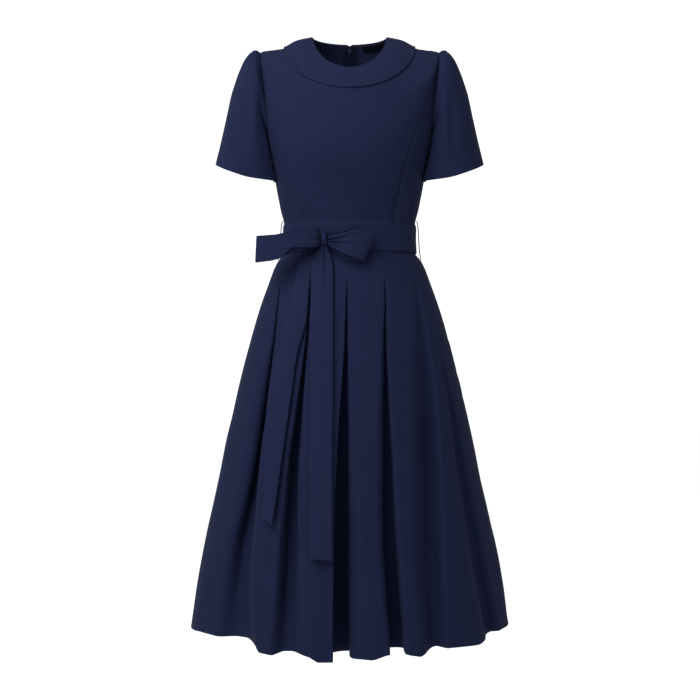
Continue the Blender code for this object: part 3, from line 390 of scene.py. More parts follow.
def build_crepe_grain():
    """Crepe: tightly twisted threads, so the weave is broken up into fine uneven pebbles."""
    group, given, made = new_group(
        "crepe grain",
        [("Weave", "NodeSocketVector", None), ("Thread", "NodeSocketFloat", THREAD_SPACING),
         ("Pebble", "NodeSocketFloat", PEBBLE_SHARE)],
        [("Height", "NodeSocketFloat"), ("Tone", "NodeSocketFloat"), ("Cloud", "NodeSocketFloat")],
    )
    links = group.links
    weave = given.outputs["Weave"]
    split = group.nodes.new("ShaderNodeSeparateXYZ")
    links.new(weave, split.inputs[0])
    wander = noise_node(group, WANDER_SCALE, 2.0, weave)
    drift = math_node(group, "MULTIPLY", wander.outputs["Fac"], THREAD_WANDER)
    turns = math_node(group, "DIVIDE", THREAD_TURN, given.outputs["Thread"])
    warp = math_node(group, "ADD", math_node(group, "MULTIPLY", split.outputs[0], turns), drift)
    weft = math_node(group, "ADD", math_node(group, "MULTIPLY", split.outputs[1], turns), drift)
    crossed = math_node(group, "MULTIPLY", math_node(group, "SINE", warp), math_node(group, "SINE", weft))
    pebble = noise_node(group, PEBBLE_SCALE, 1.5, weave)
    pebble.inputs["Roughness"].default_value = 0.6
    plain = math_node(group, "MULTIPLY_ADD", crossed, 0.5, 0.5)
    height = group.nodes.new("ShaderNodeMix")
    links.new(given.outputs["Pebble"], height.inputs["Factor"])
    links.new(plain, height.inputs["A"])
    links.new(pebble.outputs["Fac"], height.inputs["B"])
    cloud = noise_node(group, CLOUD_SCALE, 3.0, weave)
    links.new(height.outputs["Result"], made.inputs["Height"])
    links.new(height.outputs["Result"], made.inputs["Tone"])
    links.new(cloud.outputs["Fac"], made.inputs["Cloud"])
    return group


def cloth_material(
    name, shade, light, roughness, sheen, thread=THREAD_SPACING, pebble=PEBBLE_SHARE, relief=CREPE_RELIEF
):
    """A woven cloth: its grain lightens the raised threads and lifts them in a fine bump."""
    material = bpy.data.materials.new(name)
    material.use_nodes = True
    tree = material.node_tree
    shader = tree.nodes["Principled BSDF"]
    shader.inputs["Sheen Weight"].default_value = sheen
    shader.inputs["Sheen Roughness"].default_value = SHEEN_ROUGHNESS
    shader.inputs["Sheen Tint"].default_value = SHEEN_TINT
    shader.inputs["Specular IOR Level"].default_value = CLOTH_SPECULAR
    weave = tree.nodes.new("ShaderNodeUVMap")
    weave.uv_map = "weave"
    grain = tree.nodes.new("ShaderNodeGroup")
    grain.node_tree = crepe_grain
    grain.inputs["Thread"].default_value = thread
    grain.inputs["Pebble"].default_value = pebble
    tree.links.new(weave.outputs["UV"], grain.inputs["Weave"])
    cloud = math_node(tree, "MULTIPLY_ADD", grain.outputs["Cloud"], CLOUD_CONTRAST, -CLOUD_CONTRAST / 2)
    thread_tone = math_node(tree, "MULTIPLY_ADD", grain.outputs["Tone"], THREAD_CONTRAST, THREAD_SHADE)
    tone = math_node(tree, "ADD", thread_tone, cloud)
    tree.links.new(colour_between(tree, tone, shade, light), shader.inputs["Base Color"])
    rough = math_node(
        tree, "MULTIPLY_ADD", grain.outputs["Tone"], -ROUGHNESS_SPAN, roughness + ROUGHNESS_SPAN / 2
    )
    tree.links.new(rough, shader.inputs["Roughness"])
    bump = tree.nodes.new("ShaderNodeBump")
    bump.inputs["Strength"].default_value = BUMP_STRENGTH
    bump.inputs["Distance"].default_value = relief
    tree.links.new(grain.outputs["Height"], bump.inputs["Height"])
    tree.links.new(bump.outputs["Normal"], shader.inputs["Normal"])
    return material


def sew_on(piece, node):
    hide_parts(node)
    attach(piece, "dress")


def sew_bodice_panel(name, angles, shares, seams, folds, seed, mirrored=False, split=None):
    """One bodice panel on its grid of angles and shares, with its folds and its seams."""
    base = bodice_point(angles, shares)
    if mirrored:
        base = base * (-1, 1, 1)
    lift = seam_relief(base, seams, seed) + folded(base[..., 0], base[..., 2], folds)
    normal = bodice_normal(angles, shares)
    if mirrored:
        normal = normal * (-1, 1, 1)
    outer = inset_sides(base + normal * lift[..., None])
    outer[0, :, 2] += SEAM_GAP / 2
    if split is not None:
        outer[:, -1, 0] = -split if mirrored else split
    piece = cloth_shell(name + "_crepe", outer, navy_crepe, outward=normal, inside=crepe_inside_painted_lighter)
    sew_on(piece, name)


def sew_allowance(name, outer, normal):
    """The pressed edges of the cloth behind a seam, as one narrow strip inside the dress."""
    strip = cloth_shell(name, outer, crepe_inside_painted_lighter, thickness=ALLOWANCE_THICKNESS, outward=normal)
    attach(strip, "dress")


def sew_bodice_allowance(name, angle, shares, folds, mirrored=False):
    """An allowance behind a seam of the bodice that runs at the angle, a value for each share."""
    reach = np.linspace(-ALLOWANCE_TURN, ALLOWANCE_TURN, ALLOWANCE_COLUMNS)
    angles = np.broadcast_to(angle, shares.shape)[:, None] + reach
    high = np.repeat(shares[:, None], ALLOWANCE_COLUMNS, 1)
    side = (-1, 1, 1) if mirrored else (1, 1, 1)
    base = bodice_point(angles, high) * side
    normal = bodice_normal(angles, high) * side
    lift = folded(base[..., 0], base[..., 2], folds) - ALLOWANCE_DEPTH
    sew_allowance(name, base + normal * lift[..., None], normal)


crepe_grain = build_crepe_grain()
navy_crepe = cloth_material(
    "navy crepe", shade=(0.0038, 0.0054, 0.0165), light=(0.0070, 0.0098, 0.0292), roughness=0.86, sheen=0.01
)
# The wrong side is the same navy crepe painted about twice as light. This is painted light: it stands in for
# the light that reaches the shaded inside of the neck, sleeves and skirt.
crepe_inside_painted_lighter = cloth_material(
    "navy crepe inside, painted lighter", shade=(0.0072, 0.0092, 0.0270), light=(0.0140, 0.0176, 0.0500), roughness=0.8,
    sheen=0.02,
)

rows = share_rows((0, NOTCH_SHARE, 96), (NOTCH_SHARE, SHOULDER_SHARE, 16), (SHOULDER_SHARE, 1, 46))
seam = smooth_table(*columns(PRINCESS_SEAM), rows)
edge = np.where(rows <= NOTCH_SHARE, seam, 90 - armhole_angle(rows, ARMHOLE_FRONT))
angles = edge[:, None] * np.linspace(-1, 1, FRONT_COLUMNS)[None, :]
shares = np.repeat(rows[:, None], FRONT_COLUMNS, 1)
sew_bodice_panel(
    "bodice_front_centre", angles, shares, {"first": 0.5, "last": 2.5, "foot": 1.0}, FRONT_FOLDS,
    seed=1.0,
)

middle = (UNDERARM_SHARE + SHOULDER_SHARE) / 2
half = (SHOULDER_SHARE - UNDERARM_SHARE) / 2
across = np.linspace(0, 1, SIDE_COLUMNS)
up = np.linspace(0, 1, SIDE_ROWS)[:, None]
notch_turn = math.acos((NOTCH_SHARE - middle) / half)
turns = notch_turn + (math.pi - notch_turn) * across
shares = up * (middle + half * np.cos(turns))
seam = smooth_table(*columns(PRINCESS_SEAM), up * NOTCH_SHARE)
ruled = seam * (1 - across) + 90 * across
angles = ruled + up ** 2 * (90 - ARMHOLE_FRONT * np.sin(turns) - ruled[-1])
for side, mirrored, princess in (("right", False, 2.5), ("left", True, 0.5)):
    sew_bodice_panel(
        "bodice_side_front_" + side, angles, shares,
        {"first": princess, "last": 0.3, "foot": 1.0, "top": 0.5}, FRONT_FOLDS,
        seed=2.0 + mirrored, mirrored=mirrored,
    )
low_shares = np.linspace(0.0, NOTCH_SHARE - 0.01, 90)
side_shares = low_shares[low_shares < UNDERARM_SHARE - 0.01]
seam = smooth_table(*columns(PRINCESS_SEAM), low_shares)
for side, mirrored in (("right", False), ("left", True)):
    sew_bodice_allowance("princess_allowance_" + side, seam, low_shares, FRONT_FOLDS, mirrored)
    sew_bodice_allowance("side_allowance_" + side, 90.0, side_shares, (), mirrored)


# Back bodice. Two halves of the same crepe meet at the centre back, where the zip parts them at the
# neck. They are eased over the shoulder blades and drag a little towards the waist.

ARMHOLE_BACK = 27.0
SLIDER_NOTCH_HALF = 1.1
SLIDER_NOTCH_SHARE = 0.95
SLIDER_NOTCH_SLOPE = 1.6
BACK_COLUMNS = 71
BACK_FOLDS = [
    # x0,    z0,     x1,     z1,    width, depth
    (134.0, -176.0, 104.0, -246.0, 12.0, -2.0),
    (126.0, -228.0, 108.0, -292.0, 11.0,  1.4),
    (104.0, -296.0,  96.0, -352.0,  7.0, -2.0),
    (78.0,  -300.0,  74.0, -352.0,  8.0,  1.2),
    (52.0,  -286.0,  48.0, -350.0,  9.0, -1.4),
    (22.0,  -304.0,  24.0, -352.0,  8.0, -1.0),
    (-26.0, -298.0, -22.0, -352.0,  8.0, -1.2),
    (-60.0, -290.0, -54.0, -350.0, 10.0, -1.3),
    (-98.0, -304.0, -92.0, -352.0,  7.0, -2.1),
    (-130.0, -182.0, -100.0, -250.0, 12.0, -1.8),
    (-122.0, -236.0, -106.0, -288.0, 10.0, 1.2),
    (92.0,  -112.0, 120.0, -150.0, 13.0, -1.2),
    (-90.0, -116.0, -122.0, -158.0, 14.0, -1.1),
]

rows = share_rows((0, UNDERARM_SHARE, 66), (UNDERARM_SHARE, SHOULDER_SHARE, 50), (SHOULDER_SHARE, 1, 46))
edge = 90 + armhole_angle(rows, ARMHOLE_BACK)
angles = edge[:, None] + (180 - edge[:, None]) * np.linspace(0, 1, BACK_COLUMNS)[None, :]
shares = np.repeat(rows[:, None], BACK_COLUMNS, 1)
opening = np.clip((rows - SLIDER_NOTCH_SHARE) / (1 - SLIDER_NOTCH_SHARE), 0, 1)
split = SEAM_GAP / 2 + (SLIDER_NOTCH_HALF - SEAM_GAP / 2) * np.minimum(1, opening * SLIDER_NOTCH_SLOPE)
for name, mirrored in (("bodice_back_right", False), ("bodice_back_left", True)):
    sew_bodice_panel(
        name, angles, shares, {"first": 0.3, "last": 1.0, "foot": 1.0}, BACK_FOLDS,
        seed=5.0 + mirrored, mirrored=mirrored, split=split,
    )


# Collar. A flat round collar in doubled crepe, turned at its outer edge, sewn in at the neck and
# open at the centre back with two rounded corners.

COLLAR_SHARE = 0.90
COLLAR_LIFT = 0.6
COLLAR_THICKNESS = 2.0
COLLAR_SPLIT = 3.6
COLLAR_CORNER = 14.0
COLLAR_ROLL = 0.7
COLLAR_TURN = 0.8
COLLAR_GROOVE = 0.25
COLLAR_WAVE = 0.5
COLLAR_CREPE = 1.9
COLLAR_ROWS = 34
COLLAR_COLUMNS = 241

rows = 1 - (1 - COLLAR_SHARE) * np.sin(np.linspace(math.pi / 2, 0, COLLAR_ROWS))
down = (1 - rows) / (1 - COLLAR_SHARE)
split = COLLAR_SPLIT + COLLAR_CORNER * (1 - np.sqrt(1 - np.minimum(down, 1) ** 2))
half = smooth_table(*columns(BODICE_RINGS)[:2], rows)
end = 180 - np.degrees(np.arcsin(split / half))
angles = end[:, None] * np.linspace(-1, 1, COLLAR_COLUMNS)[None, :]
shares = np.repeat(rows[:, None], COLLAR_COLUMNS, 1)
normal = bodice_normal(angles, shares)
base = bodice_point(angles, shares)
from_edge = lengths_along(base, 0)
round_neck = lengths_along(base, 1)
wave = COLLAR_WAVE * wavering(round_neck, 170.0, 3.0) * np.exp(-from_edge / 12.0)
lift = COLLAR_LIFT + COLLAR_THICKNESS + wave
lift += COLLAR_ROLL * hump(from_edge, 2.2, 1.8) - COLLAR_TURN * hump(from_edge, 0, 1.0)
lift -= COLLAR_GROOVE * hump(from_edge, 6.5, 2.2)
outer = base + normal * np.maximum(lift, COLLAR_LIFT + 1.2)[..., None]
piece = cloth_shell("collar_crepe", outer, navy_crepe, thickness=COLLAR_CREPE, outward=normal)
sew_on(piece, "collar")


# Sleeves. Each is cut in one, eased into a few uneven gathers at its head, closed by an underarm
# seam, and turned up at the hem.

SLEEVE_GAP = 0.4
SLEEVE_RINGS = [
    # outer_x, outer_z, inner_x, inner_z, front_y, back_y, fall, lift, lean
    (174.5,  -26.0, 151.6, -206.0, -58.0, 61.0,  0.0,  0.0,  0.0),
    (184.0,  -29.5, 150.4, -212.0, -61.0, 64.0,  0.5,  0.5,  3.5),
    (193.0,  -39.0, 148.9, -219.0, -63.0, 66.0,  1.0,  1.0,  6.8),
    (204.0,  -62.0, 146.8, -227.0, -64.0, 67.0,  2.5,  2.0,  8.2),
    (217.5, -104.0, 144.3, -239.0, -64.0, 67.0,  5.0,  4.0, 10.8),
    (227.0, -146.0, 142.2, -249.0, -64.0, 67.0,  7.5,  5.5, 12.5),
    (236.5, -188.0, 140.5, -258.0, -63.0, 66.0, 10.0,  7.0, 15.6),
    (247.5, -235.0, 139.1, -267.5, -62.0, 64.0, 12.0,  8.5, 18.8),
]
SLEEVE_CLEAR_ANGLE = 0.25
SLEEVE_CLEAR_SHARE = 0.0008
BACK_LEAN = 0.45
SLEEVE_CROWDING = 22.0
SLEEVE_DEGREE = 1.1
SLEEVE_HEM = 22.0
SLEEVE_HEM_STEP = 0.22
HEM_SOFTNESS = 0.8
HEAD_PUFF = 1.9
GATHER_DEGREE = 1.35
UNDERARM_EASE = 1.5
ARMHOLE_SEAM_TURN = 128.0
ARMHOLE_ALLOWANCE = 8.0
GATHERS = [
    # turn, reach down the sleeve, width, depth
    (-50.0, 22.0, 4.0, -2.2),
    (-38.0, 40.0, 4.4, -3.6),
    (-27.0, 26.0, 3.8, -2.6),
    (-15.0, 44.0, 4.2, -3.8),
    (-4.0,  28.0, 3.8, -2.8),
    (8.0,   50.0, 4.6, -4.2),
    (20.0,  34.0, 4.0, -3.2),
    (31.0,  62.0, 5.0, -4.8),
    (44.0,  38.0, 4.4, -3.2),
    (56.0,  24.0, 4.0, -1.8),
]
SLEEVE_FOLDS = [
    # turn0, down0, turn1, down1, width, depth
    (62.0,   30.0,  82.0, 190.0, 16.0, -3.0),
    (96.0,   40.0, 112.0, 150.0, 14.0,  2.2),
    (20.0,   90.0,  40.0, 200.0, 22.0,  1.6),
    (-70.0,  40.0, -88.0, 170.0, 16.0, -2.6),
    (-110.0, 30.0, -122.0, 120.0, 13.0, 2.0),
    (-24.0,  80.0, -34.0, 190.0, 20.0, -1.6),
    (138.0,  10.0, 146.0, 80.0, 10.0, -1.8),
    (-142.0, 10.0, -150.0, 76.0, 10.0, -1.6),
]
SLEEVE_COLUMNS = 280
SLEEVE_ROWS = 84


def hem_step(to_hem, depth, height):
    """The height of the turned hem over the single cloth, with a soft step at its stitches."""
    return height / (1 + np.exp(np.minimum((to_hem - depth) / HEM_SOFTNESS, 50)))


turn = np.linspace(-180, 180, SLEEVE_COLUMNS, endpoint=False)
turn = turn - SLEEVE_CROWDING * np.sin(np.radians(turn))
up = np.cos(np.radians(turn))
ahead = np.sin(np.radians(turn))
middle = (UNDERARM_SHARE + SHOULDER_SHARE) / 2
half = (SHOULDER_SHARE - UNDERARM_SHARE) / 2 + SLEEVE_CLEAR_SHARE
reach = np.where(ahead > 0, ARMHOLE_FRONT, ARMHOLE_BACK) + SLEEVE_CLEAR_ANGLE
seam_angle = 90 - reach * ahead
seam_share = middle + half * up
rings = [bodice_point(seam_angle, seam_share) + bodice_normal(seam_angle, seam_share) * SLEEVE_GAP]
low_side = (2 * np.abs(ahead) * np.clip(-up, 0, 1)) ** 3 * np.where(ahead > 0, 1, BACK_LEAN)
for outer_x, outer_z, inner_x, inner_z, front_y, back_y, fall, lift, lean in SLEEVE_RINGS:
    ring_x = (outer_x + inner_x) / 2 + up * (outer_x - inner_x) / 2 - lean * low_side
    ring_z = (outer_z + inner_z) / 2 + up * (outer_z - inner_z) / 2
    ring_z = ring_z - np.where(ahead > 0, fall * ahead, lift * ahead)
    ring_y = np.where(ahead > 0, front_y * ahead, -back_y * ahead)
    rings.append(np.stack([ring_x, ring_y, ring_z], -1))
rings = np.array(rings)
ring_places = np.linspace(0, 1, len(rings)) ** 1.35
fine_places = np.linspace(0, 1, SLEEVE_ROWS) ** 1.2
fine = np.zeros((SLEEVE_ROWS, SLEEVE_COLUMNS, 3))
for column in range(SLEEVE_COLUMNS):
    for axis in range(3):
        fine[:, column, axis] = smooth_table(ring_places, rings[:, column, axis], fine_places)
down = lengths_along(fine, 0)
lift = np.zeros(down.shape)
for at_turn, gather_reach, width, depth in GATHERS:
    aside = (turn - at_turn) * GATHER_DEGREE
    spread = width * (0.75 + 0.9 * down / gather_reach)
    lift += depth * hump(down, 0, gather_reach) * hump(aside, 0, spread)
lift += HEAD_PUFF * hump(down, 9.0, 9.0) * np.exp(-((turn / 62.0) ** 4))
folds = np.array(SLEEVE_FOLDS) * (SLEEVE_DEGREE, 1, SLEEVE_DEGREE, 1, 1, 1)
lift += folded(turn * SLEEVE_DEGREE, down, folds)
lift -= 0.4 * SEAM_DIP * hump(down, 0, SEAM_DIP_WIDTH) * np.clip(1 + up, 0, 1)
lift += UNDERARM_EASE * np.clip(-up, 0, 1) ** 6 * np.clip(down / 4, 0, 1) * np.exp(-((down / 42) ** 4))
to_hem = down[-1:] - down
lift += hem_step(to_hem, SLEEVE_HEM, SLEEVE_HEM_STEP)
lift += 0.6 * wavering(turn, 97.0, 4.0) * np.exp(-to_hem / 40.0)
underarm = 180 - np.abs(turn)
lift -= SEAM_DIP * hump(underarm * SLEEVE_DEGREE, 0, SEAM_DIP_WIDTH) * np.clip(down / 60.0 - 0.5, 0, 1)
edge = bodice_point(90 - (reach - SLEEVE_CLEAR_ANGLE) * ahead, middle + (half - SLEEVE_CLEAR_SHARE) * up)
edge_normal = bodice_normal(90 - reach * ahead, seam_share)
within = bodice_point(90 - 1.1 * reach * ahead, middle + 1.1 * half * up) - edge_normal * ALLOWANCE_DEPTH
held = np.flatnonzero(np.abs(turn) < ARMHOLE_SEAM_TURN)
for name, side in (("sleeve_right", 1.0), ("sleeve_left", -1.0)):
    base = fine * (side, 1, 1)
    normal = grid_normals(base, around=True)
    middle_line = base.mean(axis=1, keepdims=True)
    if ((base - middle_line) * normal).sum() < 0:
        normal = -normal
    outer = base + normal * lift[..., None]
    piece = cloth_shell(name + "_crepe", outer, navy_crepe, around=True, outward=normal, inside=crepe_inside_painted_lighter)
    sew_on(piece, name)
    row = int(np.searchsorted(down.mean(axis=1), ARMHOLE_ALLOWANCE))
    bisector = unit(edge_normal * (side, 1, 1) + normal[row])
    inner_edge = edge * (side, 1, 1) - bisector * ALLOWANCE_DEPTH
    strip = np.stack([within * (side, 1, 1), inner_edge, outer[row] - normal[row] * 2.0], 1)[held]
    sew_allowance("armhole_allowance_" + name[7:], strip, -unit(strip.mean(axis=(0, 1)) - strip))


# Skirt. A front and two back panels, flared and laid into deep inverted pleats that are stitched
# down just below the waist and fall open to a narrow turned hem. The side folds are unstitched.

WAIST_Z = -375.0
RELEASE_Z = -455.0
HEM_Z = -1088.0
SKIRT_SECTIONS = [
    # z,     half, front_y, back_y, roundness
    (-375.0,  120.5,  -93.0,  92.0, 2.15),
    (-401.0,  121.5,  -94.5,  93.5, 2.15),
    (-412.5,  130.5,  -97.5, 100.0, 2.15),
    (-427.0,  138.5, -102.0, 105.0, 2.12),
    (-455.0,  149.0, -111.0, 113.0, 2.10),
    (-500.0,  165.0, -125.0, 124.0, 2.10),
    (-577.0,  187.0, -145.0, 142.0, 2.10),
    (-645.0,  204.0, -162.0, 158.0, 2.08),
    (-730.0,  223.0, -183.0, 178.0, 2.06),
    (-820.0,  240.5, -204.0, 198.0, 2.05),
    (-920.0,  262.0, -226.0, 219.0, 2.05),
    (-1010.0, 278.0, -241.0, 234.0, 2.05),
    (-1088.0, 288.5, -251.0, 244.0, 2.05),
]
HEM_DROP = [
    # angle, drop
    (-180.0,  5.0),
    (-120.0,  2.0),
    (-84.0,  -5.0),
    (-64.0,  -9.0),
    (-39.0,  -8.5),
    (-34.0,  -2.5),
    (-32.4,   7.0),
    (-27.0,  10.0),
    (-24.0,   6.5),
    (-17.0,   4.5),
    (-13.0,   9.5),
    (-11.0,  17.0),
    (-6.0,   16.5),
    (4.0,    11.5),
    (8.0,    13.0),
    (12.6,    5.5),
    (19.0,    6.0),
    (24.5,   11.0),
    (32.0,    1.0),
    (43.0,    2.0),
    (51.0,    4.5),
    (60.0,   -3.0),
    (68.0,   -8.0),
    (88.0,  -11.0),
    (125.0,   0.0),
    (180.0,   5.0),
]
PLEAT_PLACES = (0.0, 0.2, 0.5, 0.75, 1.0)
PLEATS = [
    # name, start_z, and at the PLEAT_PLACES from there to the hem: angles, mouths,
    #     depths, left rolls, right rolls, crispness
    ("back outer left", -452.0, (-134, -136.5, -139.5, -141.5, -143), (1.5, 6, 18, 26, 30),
     (0, 22, 42, 54, 62), (3, 8, 15, 21, 24), (1.8, 2, 2.6, 3.4, 4), (1, 1, 1, 1, 1)),
    ("back side left", -550.0, (-116, -117, -117.7, -118.4, -119), (6, 10, 19, 24, 26),
     (0, 9, 18, 21, 20), (5, 12, 20, 24, 26), (4, 8, 12, 15, 16), (0.4, 0.4, 0.4, 0.3, 0.2)),
    ("front outer left", -450.0, (-54.8, -46.2, -44.8, -45, -41.6), (1.5, 5, 15, 20, 34),
     (0, 22, 50, 42, 32), (4, 12, 36, 40, 40), (1.7, 3, 6, 22, 32), (1, 1, 1, 0.4, 0)),
    ("front inner left", -452.0, (-26.5, -24, -24.8, -23.2, -21.9), (1, 4.8, 16.5, 22, 28),
     (0, 22, 44, 40, 28), (2.5, 2.5, 5, 12, 16), (1.5, 2.5, 8, 14, 20), (1, 1, 1, 0.6, 0.2)),
    ("front centre", -448.0, (-1.6, -2, -3, -3.2, -3), (1, 6.2, 21, 25, 27),
     (0, 23, 58, 78, 88), (1.5, 1.5, 1.5, 1.5, 2.5), (1.5, 3, 10, 30, 36), (1, 1, 1, 1, 1)),
    ("front inner right", -446.0, (25.2, 19.8, 17, 15.8, 16.6), (1, 4.7, 15, 23, 27),
     (0, 22, 46, 58, 66), (2.5, 8, 16, 14, 8), (1.5, 2, 6, 9, 9), (1, 1, 1, 1, 1)),
    ("front outer right", -446.0, (51.8, 46.2, 39.3, 34.2, 31.2), (2.5, 6, 12, 11, 10),
     (0, 13, 31, 32, 28), (7, 34, 42, 42, 30), (3, 10, 13, 14, 18), (0.4, 0.15, 0, 0, 0)),
    ("front side right", -560.0, (57, 59.4, 58.7, 58.9, 61.9), (3, 8, 19, 21, 24),
     (0, 9, 18, 22, 24), (3, 15, 22, 28, 34), (3, 8, 12, 16, 18), (0.3, 0.3, 0.3, 0.3, 0.3)),
    ("back side right", -560.0, (115, 116, 116.7, 117.4, 118), (6, 10, 19, 24, 26),
     (0, 11, 21, 25, 26), (5, 10, 16, 20, 22), (4, 8, 12, 15, 16), (0.5, 0.5, 0.4, 0.4, 0.4)),
    ("back outer right", -452.0, (133, 136, 139.5, 142, 144), (1.5, 6, 17, 25, 29),
     (0, 22, 42, 55, 64), (3, 8, 14, 18, 20), (1.8, 2.5, 3.2, 3.7, 4), (1, 1, 1, 1, 1)),
    ("back inner right", -448.0, (159, 160.5, 162.3, 164, 165.5), (1.5, 5.5, 16, 23, 27),
     (0, 23, 44, 58, 68), (3, 8, 16, 20, 22), (1.8, 2, 2.3, 2.5, 2.5), (1, 1, 1, 1, 1)),
    ("back inner left", -448.0, (-158.5, -160, -162, -163.6, -165), (1.5, 5.5, 17, 27, 34),
     (0, 23, 44, 46, 32), (3, 6, 10, 16, 22), (1.8, 2, 3, 10, 20), (1, 1, 1, 0.8, 0.3)),
]
PLEAT_WANDER = 0.22
FRONT_TURN = 1.4
BACK_TURN = 0.6
ROLL_SLANT = 1.6
WALL_FLARE = 2.5
FLARE_DEPTH = 45
CRISP_DEPTH = 8.0
ROLL_SHARE = 0.3
PLEAT_SPAN = 24
PANEL_STEP = 9.0
PANEL_DEGREE = 4.8
PANEL_BULGE = 7.0
WIDE_PANEL = 110.0
SKIRT_ROWS = 150
SWAY = 1.6
SWAY_REACH = 300.0
RIPPLE = 0.7
WAIST_DIP = 0.9
HEM_TURN = 20.0
HEM_STEP = 0.18
HEM_CLEAR = 0.8


def skirt_outline(angle, level):
    """A point of the skirt's outline, before its pleats, at a level between waist and hem."""
    places, *shape = columns(SKIRT_SECTIONS[::-1])
    half, front_y, back_y, roundness = [smooth_table(places, values, level) for values in shape]
    across, forward = ring_shape(angle, roundness)
    depth = np.where(forward >= 0, front_y, -back_y)
    fallen = np.clip((WAIST_Z - level) / (WAIST_Z - HEM_Z), 0, 1) ** 2
    height = level - np.interp(angle, *columns(HEM_DROP)) * fallen
    return np.stack([across * half, forward * depth, height + 0 * across], -1)


def across_outline(angle, level):
    """Speed along the outline in mm a degree, and the unit vector into the skirt."""
    way = skirt_outline(angle + ANGLE_STEP, level) - skirt_outline(angle - ANGLE_STEP, level)
    speed = np.linalg.norm(way, axis=-1)
    inward = np.stack([-way[..., 1], way[..., 0], 0 * speed], -1)
    return speed, unit(inward)


def pleat_curve(width, sunk, left_roll, right_roll):
    """Places across and into a pleat: a rolled edge, a wall, the foot, a wall and a rolled edge."""
    edge = width / 2
    roll_left = min(ROLL_SLANT * left_roll, 0.5 * sunk)
    roll_right = min(ROLL_SLANT * right_roll, 0.5 * sunk)
    quarter = np.linspace(0, math.pi / 2, 8)
    left_x = -edge - left_roll * (1 - np.sin(quarter))
    left_in = roll_left * (1 - np.cos(quarter))
    right_x = edge + right_roll * (1 - np.sin(quarter))
    right_in = roll_right * (1 - np.cos(quarter))
    flare = WALL_FLARE * min(1.0, (sunk / FLARE_DEPTH) ** 2)
    foot = np.linspace(0, math.pi, 7)
    deep = max(sunk - edge * 0.6, 0.75 * sunk)
    wall_left = np.linspace(roll_left, deep, 4)[1:-1]
    wall_right = np.linspace(deep, roll_right, 4)[1:-1]
    foot_x = -(edge + flare) * np.cos(foot)
    foot_in = deep + (sunk - deep) * np.sin(foot)
    turned = edge + flare * 0.3
    across = np.concatenate([left_x, [-turned] * 2, foot_x, [turned] * 2, right_x[::-1]])
    into = np.concatenate([left_in, wall_left, foot_in, wall_right, right_in[::-1]])
    return across, into


def smooth_step(place):
    """0 before the place 0 and 1 after the place 1, with a soft rise between."""
    held = np.clip(place, 0, 1)
    return held * held * (3 - 2 * held)


def pleat_points(pleat, level):
    """The points across one pleat at a level, and the angles of its two edges."""
    start_z = pleat[1]
    opened = np.clip((start_z - level) / (start_z - HEM_Z), 0, 1)
    angle, width, sunk, left_roll, right_roll, crispness = [
        float(smooth_table(PLEAT_PLACES, values, opened)) for values in pleat[2:]
    ]
    angle += PLEAT_WANDER * float(wavering(level, 290.0, start_z + pleat[2][0]) * opened)
    across, into = pleat_curve(width, sunk, left_roll, right_roll)
    even = np.linspace(across[0], across[-1], len(across))
    valley = sunk * smooth_step((even - even[0]) / (left_roll + ROLL_SHARE * width))
    valley *= smooth_step((even[-1] - even) / (right_roll + ROLL_SHARE * width))
    crisp = crispness * min(1.0, sunk / CRISP_DEPTH)
    place = even + (across - even) * crisp
    sinking = valley + (into - valley) * crisp
    speed, inward = across_outline(angle, level)
    turn = FRONT_TURN if inward[1] > 0 else -BACK_TURN
    sink_way = unit(inward + (0.0, turn, 0.0))
    points = skirt_outline(angle + place / speed, level) + sink_way * sinking[:, None]
    return points, angle + place[0] / speed, angle + place[-1] / speed


def skirt_ring(level, marks, counts):
    """All points round the skirt at one level, and the columns where the seams lie."""
    landmarks = []
    for angle, pleat in marks:
        if pleat is None:
            landmarks.append((skirt_outline(np.array([angle]), level), angle, angle))
        else:
            landmarks.append(pleat_points(pleat, level))
    opened = float(np.clip((RELEASE_Z - level) / (RELEASE_Z - HEM_Z), 0, 1))
    points = []
    seams = []
    total = 0
    for k, (mark_points, _, right) in enumerate(landmarks):
        if marks[k][1] is None:
            seams.append(total)
        points.append(mark_points)
        left_of_next = landmarks[k + 1][1] if k + 1 < len(landmarks) else 180.0
        share = np.arange(1, counts[k] + 1) / (counts[k] + 1)
        angle = right + (left_of_next - right) * share
        speed, inward = across_outline(angle, level)
        wide = (left_of_next - right) * speed / WIDE_PANEL
        swell = PANEL_BULGE * opened * np.minimum(wide, 1.0) ** 2 * np.sin(math.pi * share) ** 2
        points.append(skirt_outline(angle, level) - inward * swell[:, None])
        total += len(mark_points) + counts[k]
    return np.concatenate(points), seams


marks = [(-180.0, None), (-90.0, None), (90.0, None)] + [(pleat[2][-1], pleat) for pleat in PLEATS]
marks.sort(key=lambda mark: mark[0])
counts = []
for (before, first), (after, second) in zip(marks, marks[1:] + [(180.0, None)]):
    span = (after - before) * PANEL_DEGREE - PLEAT_SPAN * ((first is not None) + (second is not None))
    counts.append(max(4, round(span / PANEL_STEP)))
levels = HEM_Z + (WAIST_Z - HEM_Z) * np.linspace(0, 1, SKIRT_ROWS)
rings = [skirt_ring(level, marks, counts) for level in levels]
seams = rings[0][1]
base = np.array([ring for ring, _ in rings])
normal = grid_normals(base, around=True)
if (normal[-1] * base[-1] * (1, 1, 0)).sum() < 0:
    normal = -normal
round_skirt = lengths_along(base, 1)
to_hem = lengths_along(base, 0)
loose = np.clip((RELEASE_Z - base[..., 2]) / SWAY_REACH, 0, 1)
lift = SWAY * loose * wavering(round_skirt, 190.0, 1.0) * wavering(to_hem + 0.15 * round_skirt, 610.0, 2.0)
lift += RIPPLE * loose * wavering(round_skirt, 61.0, 5.0) * np.exp(-to_hem / 150.0)
lift += hem_step(to_hem, HEM_TURN, HEM_STEP)
lift -= WAIST_DIP * hump(base[..., 2], WAIST_Z, 4.0)
outer = base + normal * lift[..., None]
outer[-1, :, 2] -= SEAM_GAP / 2
whole = outer.shape[1]
back, left, right = seams
